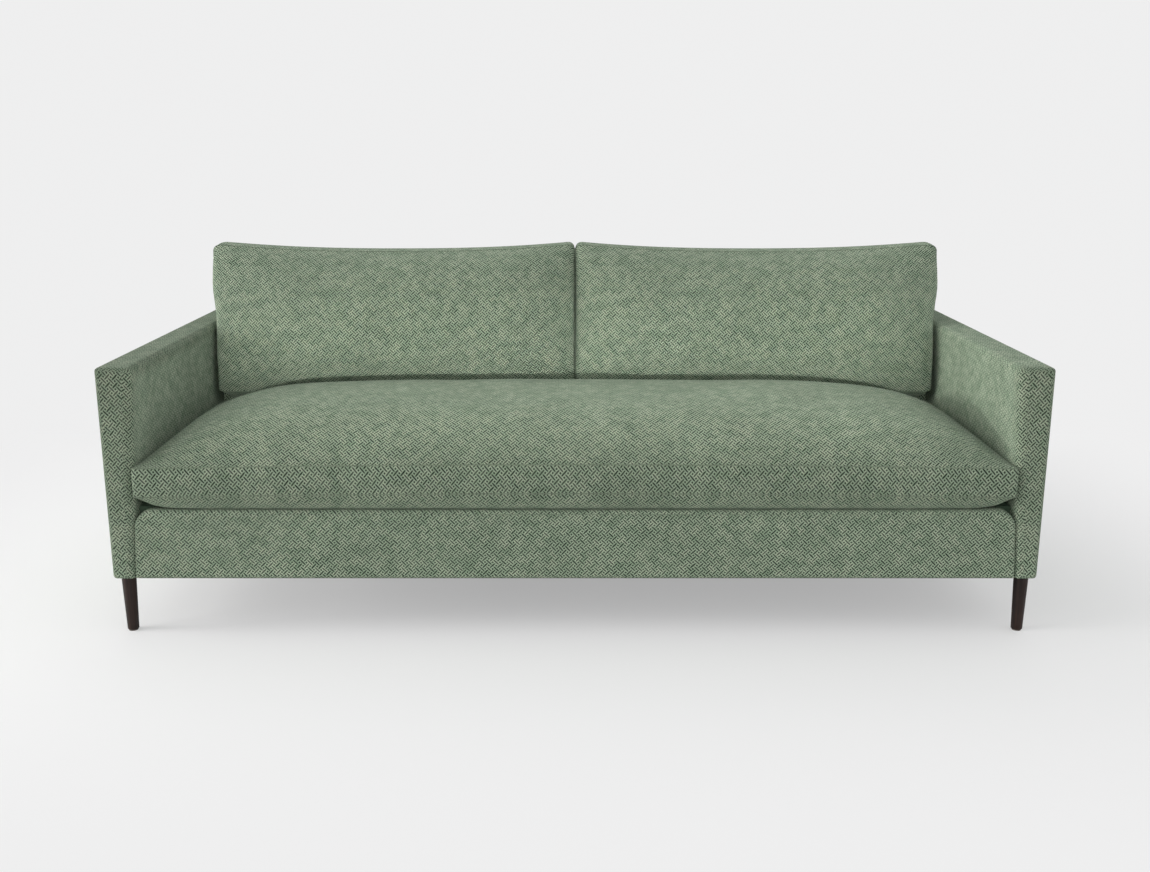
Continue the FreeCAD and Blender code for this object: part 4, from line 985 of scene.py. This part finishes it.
def seat_section(share):
    """Front-to-rear sections of the seat's panels, (y, z), at a share of the half width."""
    droop = SEAT_DROOP * share ** 2
    low, high = seat_seam - SEAT_BORDER - droop, seat_seam - droop
    crown = SEAT_CROWN * fall_away(share, CROWN_STEEPNESS)
    bottom = low - (low - seat_low.z) * fall_away(share, UNDER_STEEPNESS, LEAST_UNDER)
    round_in = rounded_inset((1 - abs(share)) * seat_high.x, SEAT_CORNER)
    y0, y1 = seat_low.y + SEAT_BORDER_BOW + round_in, seat_high.y - round_in
    near, far = FRONT_UNDER_RUN * seat_length, REAR_UNDER_RUN * seat_length
    front_turn = [(y0 + away, z) for away, z in turn_under(near, low, bottom, TURN_ROWS)]
    rear_turn = [(y1 - away, z) for away, z in turn_under(far, low, bottom, TURN_ROWS)]
    level = straight((y0 + near, bottom), (y1 - far, bottom), UNDER_ROWS)[1:-1]
    knots = [(y0 + back * (y1 - y0), high + rise * crown) for back, rise in CROWN_PATH]
    bow = (y0 - SEAT_BORDER_BOW, (low + high) / 2)
    return {
        "top": smooth_path(knots, CROWN_ROWS),
        "front": arc((y0, low), bow, (y0, high), BORDER_ROWS),
        "rear": straight((y1, low), (y1, high), BORDER_ROWS),
        "under": front_turn + level + rear_turn[::-1],
    }


def over_arms(grid):
    """Let the cushion's front corners swell sideways over the arms' rounded front edges."""
    grid = grid.copy()
    for spot in grid.reshape(-1, 3):
        behind = max(spot[1] - arm_low.y, CORNER_SWELL_NEAREST)
        room = CORNER_SWELL * rounded_inset(behind, ARM_FRONT_INNER_RADIUS)
        above = max(spot[2] - seat_seam + CORNER_SWELL_BELOW_SEAM, 0.0)
        outward = (spot[0] / seat_high.x) ** CORNER_SWELL_STEEPNESS
        spot[0] += room * outward * math.exp(-above / CORNER_SWELL_FADE)
    return grid


def over_core(grid):
    """Keep the crown above the foam core and its edges."""
    grid = grid.copy()
    for row in grid[1:-1]:
        for spot in row[1:-1]:
            beyond = max(abs(spot[0]) - core_high.x, core_low.y - spot[1], spot[1] - core_high.y, 0.0)
            spot[2] = max(spot[2], core_high.z + CORE_COVER - CORE_EDGE_SLOPE * beyond)
    return grid


def seat_cushion():
    """One long boxed cushion with a high feather crown over a lower belly."""
    half = seat_high.x
    across = [share * half for share in end_spread(SEAT_COLUMNS)]
    sections = [seat_section(x / half) for x in across]
    panels = {}
    for name in SEAT_PANELS:
        rows = [[(x, y, z) for y, z in section[name]] for x, section in zip(across, sections)]
        panels[name] = over_arms(np.asarray(rows))
    shell = Shell()
    for name, grid in panels.items():
        run = run_length(grid[len(grid) // 2])
        stretch = BORDER_STRETCH if name in ("front", "rear") else 1.0
        soft = soften(grid, run, [half - abs(x) for x in across], *SEAT_PANELS[name])
        soft = over_core(soft) if name == "top" else soft
        shell.patch(soft, [[(x, v / stretch) for v in run] for x in across])
    top, front, rear, under = panels.values()
    tube(shell, np.concatenate([front[:, -1], top[-1], rear[::-1, -1], top[0, ::-1]]))
    tube(shell, np.concatenate([front[:, 0], rear[::-1, 0]]))
    for end, x in ((0, -half), (-1, half)):
        ring = np.concatenate([front[end], top[end, 1:], rear[end, -2::-1], under[end, -2::-1]])
        low_y, high_y = ring[:, 1].min() + SEAT_END_INSET, ring[:, 1].max() - SEAT_END_INSET
        middle = (front[end, 0, 2] + front[end, -1, 2]) / 2
        spine = np.array([(x, y, middle) for y in np.clip(ring[:, 1], low_y, high_y)])
        close_end(shell, ring, spine, ring[:, 1:], spine[:, 1:], 4, BORDER_STRETCH)
    piece = shell.build("seat_cushion_upholstery", "seat_cushion", "green_weave")
    # Painted shade on the seat cushion's cloth, lighter towards the rear
    set_painted_shade(piece, lambda spot: SEAT_PAINTED_SHADE * (1 - SEAT_PAINTED_SHADE_REAR_LOSS * (spot.y - seat_low.y) / seat_length))
    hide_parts("seat_cushion")


seat_cushion()


# Back cushions

# Shares of the front panel's height from its top, and of the belly's fullness
BELLY_PATH = [
    (0.0, 0.0), (0.09, 0.42), (0.26, 0.80), (0.54, 1.0), (0.80, 0.80), (0.93, 0.42), (1.0, 0.0),
]
PILLOW_ABOVE_ARM = 0.222
PILLOW_ARM_GAP = 0.004
PILLOW_DIP = 0.020
PILLOW_BORDER = 0.115
PILLOW_CROWN = 0.108
PILLOW_CORNER = 0.020
PILLOW_SEEDS = {"left": 31, "right": 43}
PILLOW_DROOP, DROOP_START, DROOP_RUN = 0.006, 0.45, 0.35
PILLOW_FOOT_ROUNDING = 0.5
PILLOW_FLARE, FLARE_START, FLARE_RUN, FLARE_STEEPNESS = 0.013, 0.008, 0.11, 6
PILLOW_COLUMNS, BELLY_ROWS, RIM_ROWS, REAR_ROWS = 120, 70, 12, 24
PILLOW_END_INSET = 0.05
TOP_BOW = 0.007
SEAM_BELOW_TOP = 0.004
DIP_SQUARENESS = 2.4
BELLY_SQUARENESS = 3.0
CORNER_THINNING = 0.35
BELLY_FOOT_RISE = 0.035

pillow_half = (arm_low.x - PILLOW_ARM_GAP - pillow_low.x) / 2
crown_slope = SEAT_CROWN * CROWN_PATH[-2][1] / ((1 - CROWN_PATH[-2][0]) * seat_length)


def pillow_section(share):
    """Sections of a back cushion's panels, (y, z), at a share of its half width."""
    def back_plane(level):
        return inside_back(level) - REST_GAP

    def seat_slope(along):
        return seat_seam + (seat_high.y - along) * crown_slope + 2 * REST_GAP

    shrink = rounded_inset((1 - abs(share)) * pillow_half, PILLOW_CORNER)
    foot = shrink * (PILLOW_FOOT_ROUNDING if share > 0 else 1.0)
    droop = PILLOW_DROOP * ease((share - DROOP_START) / DROOP_RUN)
    dip = PILLOW_DIP * (1 - abs(share) ** DIP_SQUARENESS)
    top = arm_high.z + PILLOW_ABOVE_ARM - dip - shrink
    seam = top - SEAM_BELOW_TOP
    thin = CORNER_THINNING * shrink
    rear_top = top - TOP_BOW - SEAM_BELOW_TOP / 2
    heel_level = seat_seam
    for _ in range(8):
        heel_level = seat_slope(back_plane(heel_level)) + foot
    toe = back_plane(seat_seam + BELLY_FOOT_RISE) - PILLOW_BORDER + thin
    upper = (back_plane(seam) - PILLOW_BORDER + thin, seam)
    lower = (toe, seat_slope(toe) + foot - droop)
    heel = (back_plane(heel_level), heel_level)
    nape = (back_plane(rear_top), rear_top)
    ridge = ((upper[0] + nape[0]) / 2, top)
    chord = np.subtract(lower, upper)
    belly = PILLOW_CROWN * swell(share, BELLY_SQUARENESS) * -left_of(chord) / np.linalg.norm(chord)
    knots = [upper + down * chord + rise * belly for down, rise in BELLY_PATH]
    return {
        "front": smooth_path(knots, BELLY_ROWS),
        "top": arc(nape, ridge, upper, RIM_ROWS),
        "back": straight(heel, nape, REAR_ROWS),
        "bottom": straight(lower, heel, RIM_ROWS),
    }


def back_cushion(side):
    """A loose boxed cushion with a full belly, dipped top edge and rounded corners."""
    sign = SIDES[side]
    shares = end_spread(PILLOW_COLUMNS)
    sections = [pillow_section(share) for share in shares]

    def spot(share, along, level):
        lean_out = PILLOW_FLARE * ease((level - arm_high.z - FLARE_START) / FLARE_RUN)
        lean_out *= max(share, 0.0) ** FLARE_STEEPNESS
        return sign * (pillow_low.x + pillow_half * (1 + share) + lean_out), along, level

    panels = {}
    for name in ("front", "top", "back", "bottom"):
        pairs = zip(shares, sections)
        panels[name] = np.asarray([[spot(share, y, z) for y, z in part[name]] for share, part in pairs])
    front, top, back, bottom = panels.values()
    shell = Shell()
    across = [share * pillow_half for share in shares]
    for name, grid in panels.items():
        run = run_length(grid[len(grid) // 2])
        flat = [[(sign * x, -v) for v in run] for x in across]
        if name == "front":
            laid = np.array([run_length(grid[:, column]) for column in range(len(run))]).T
            laid -= laid[len(laid) // 2]
            flat = [[(sign * x, -v) for x, v in zip(row, run)] for row in laid]
            grid = soften(grid, run, [pillow_half - abs(x) for x in across], PILLOW_SEEDS[side])
        shell.patch(grid, flat)
    for panel in (front, back):
        tube(shell, np.concatenate([panel[:, 0], panel[-1], panel[::-1, -1], panel[0, ::-1]]))
    for end in (0, -1):
        ring = np.concatenate([top[end], front[end][1:], bottom[end][1:], back[end][1:]])
        levels = ring[:, 2]
        low, high = levels.min() + PILLOW_END_INSET, levels.max() - PILLOW_END_INSET
        spine = ring.copy()
        spine[:, 2] = np.clip(levels, low, high)
        spine[:, 1] = inside_back(spine[:, 2]) - PILLOW_BORDER / 2
        close_end(shell, ring, spine, ring[:, 1:], spine[:, 1:], 5)
    body = "back_cushion_" + side
    piece = shell.build(body + "_upholstery", body, "green_weave")
    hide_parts(body)


for side in SIDES:
    back_cushion(side)


# Studio: a pale sweep of floor and backdrop, soft lamps and the camera

PAPER = 0.86
PAPER_BLUE = 1.002
PAPER_GLOW = 0.37
PAPER_SHADED = 0.55
SHADOW_START = 0.15
SHADOW_REACH = 1.1
SWEEP_REACH = 40.0
SWEEP_BEND_START = 3.0
SWEEP_BEND = 2.0
SWEEP_HEIGHT = 8.0
AIR_AT_HORIZON = 1.18
AIR_OVERHEAD = 0.45
CAMERA_PLACE = (0.0, -3.2425, 1.174)
CAMERA_TILT = math.radians(90 - 13.78)
CAMERA_LENS = 38.49
WARM, COOL, WHITE = (1.0, 0.985, 0.965), (0.985, 0.99, 1.0), (1.0, 1.0, 1.0)
# Name, place, target, width, height, watts, colour, spread in degrees
LAMPS = [
    ("key", (-8.0, -2.0, 3.2), (0.2, 0.0, 0.45), 5.4, 5.0, 386.0, WARM, 180.0),
    ("side_light", (-7.0, -1.0, 1.5), (1.0, 0.0, 0.55), 1.6, 0.8, 10.0, WARM, 40.0),
    ("fill", (6.0, -1.5, 1.6), (0.0, 0.0, 0.50), 2.0, 1.5, 16.0, COOL, 180.0),
    ("back_light", (0.0, -3.3, 0.90), (0.0, 0.20, 0.56), 2.0, 0.08, 1.0, WHITE, 10.0),
]


def grey(brightness, blue=1.0):
    return (brightness, brightness, brightness * blue, 1.0)


def studio_paper():
    """Pale paper: the camera sees it even, apart from the shadow near the sofa."""
    tree = Tree("studio_paper")
    x, y, z = tree.split(tree.place())
    beside = tree.math("SUBTRACT", tree.math("ABSOLUTE", x), cad_box[1][0])
    before = tree.math("SUBTRACT", tree.math("ABSOLUTE", y), cad_box[1][1])
    away = tree.math("MAXIMUM", tree.math("MAXIMUM", beside, before), z)
    near = tree.span(away, SHADOW_START, SHADOW_REACH, 1.0, 0.0, smooth=True)
    bare = tree.add("Emission", grey(PAPER, PAPER_BLUE))
    glow = tree.add("Emission", grey(PAPER_GLOW))
    matt = tree.add("BsdfDiffuse", grey(PAPER_SHADED))
    plain = tree.add("BsdfDiffuse", grey(PAPER))
    seen = tree.add("MixShader", near, bare, tree.add("AddShader", glow, matt))
    tree.nodes.remove(tree.nodes["Principled BSDF"])
    return tree.apart("Material Output", plain, seen)


def studio():
    """Floor and backdrop in one sweep."""
    wall = SWEEP_BEND_START + SWEEP_BEND
    half = SWEEP_BEND * math.sqrt(0.5)
    bend = arc((SWEEP_BEND_START, 0.0), (SWEEP_BEND_START + half, SWEEP_BEND - half), (wall, SWEEP_BEND), 12)
    profile = [(-SWEEP_REACH, 0.0), *bend, (wall, SWEEP_HEIGHT)]
    points = [(x, y, z) for y, z in profile for x in (-SWEEP_REACH, SWEEP_REACH)]
    faces = [(2 * row, 2 * row + 1, 2 * row + 3, 2 * row + 2) for row in range(len(profile) - 1)]
    mesh = bpy.data.meshes.new("studio_sweep")
    mesh.from_pydata(points, [], faces)
    mesh.shade_smooth()
    mesh.materials.append(studio_paper())
    show("studio_sweep", mesh)


def lamp(name, place, target, width, height, power, color, spread):
    """A soft rectangular lamp that looks at a target."""
    light = bpy.data.lights.new(name, "AREA")
    light.shape = "RECTANGLE"
    light.size = width
    light.size_y = height
    light.energy = power
    light.color = color
    light.spread = math.radians(spread)
    show(name, light, place, (Vector(target) - Vector(place)).to_track_quat("-Z", "Y").to_euler())


def studio_air():
    """Even light from all round, weaker from straight above; the camera sees plain paper."""
    tree = Tree("studio_air", bpy.data.worlds)
    height = tree.split(tree.add("TexCoord", output="Generated"))[2]
    strength = tree.span(height, 0.0, 1.0, AIR_AT_HORIZON, AIR_OVERHEAD)
    air = tree.add("Background", (*COOL, 1.0), strength)
    seen = tree.add("Background", grey(PAPER, PAPER_BLUE))
    bpy.context.scene.world = tree.apart("World Output", air, seen)


def camera():
    """The photograph's viewpoint."""
    lens = bpy.data.cameras.new("view")
    lens.sensor_width = 36.0
    lens.lens = CAMERA_LENS
    lens.clip_end = 60.0
    bpy.context.scene.camera = show("view", lens, CAMERA_PLACE, (CAMERA_TILT, 0.0, 0.0))


studio()
for settings in LAMPS:
    lamp(*settings)
camera()
studio_air()
bpy.context.scene.view_settings.view_transform = "Standard"
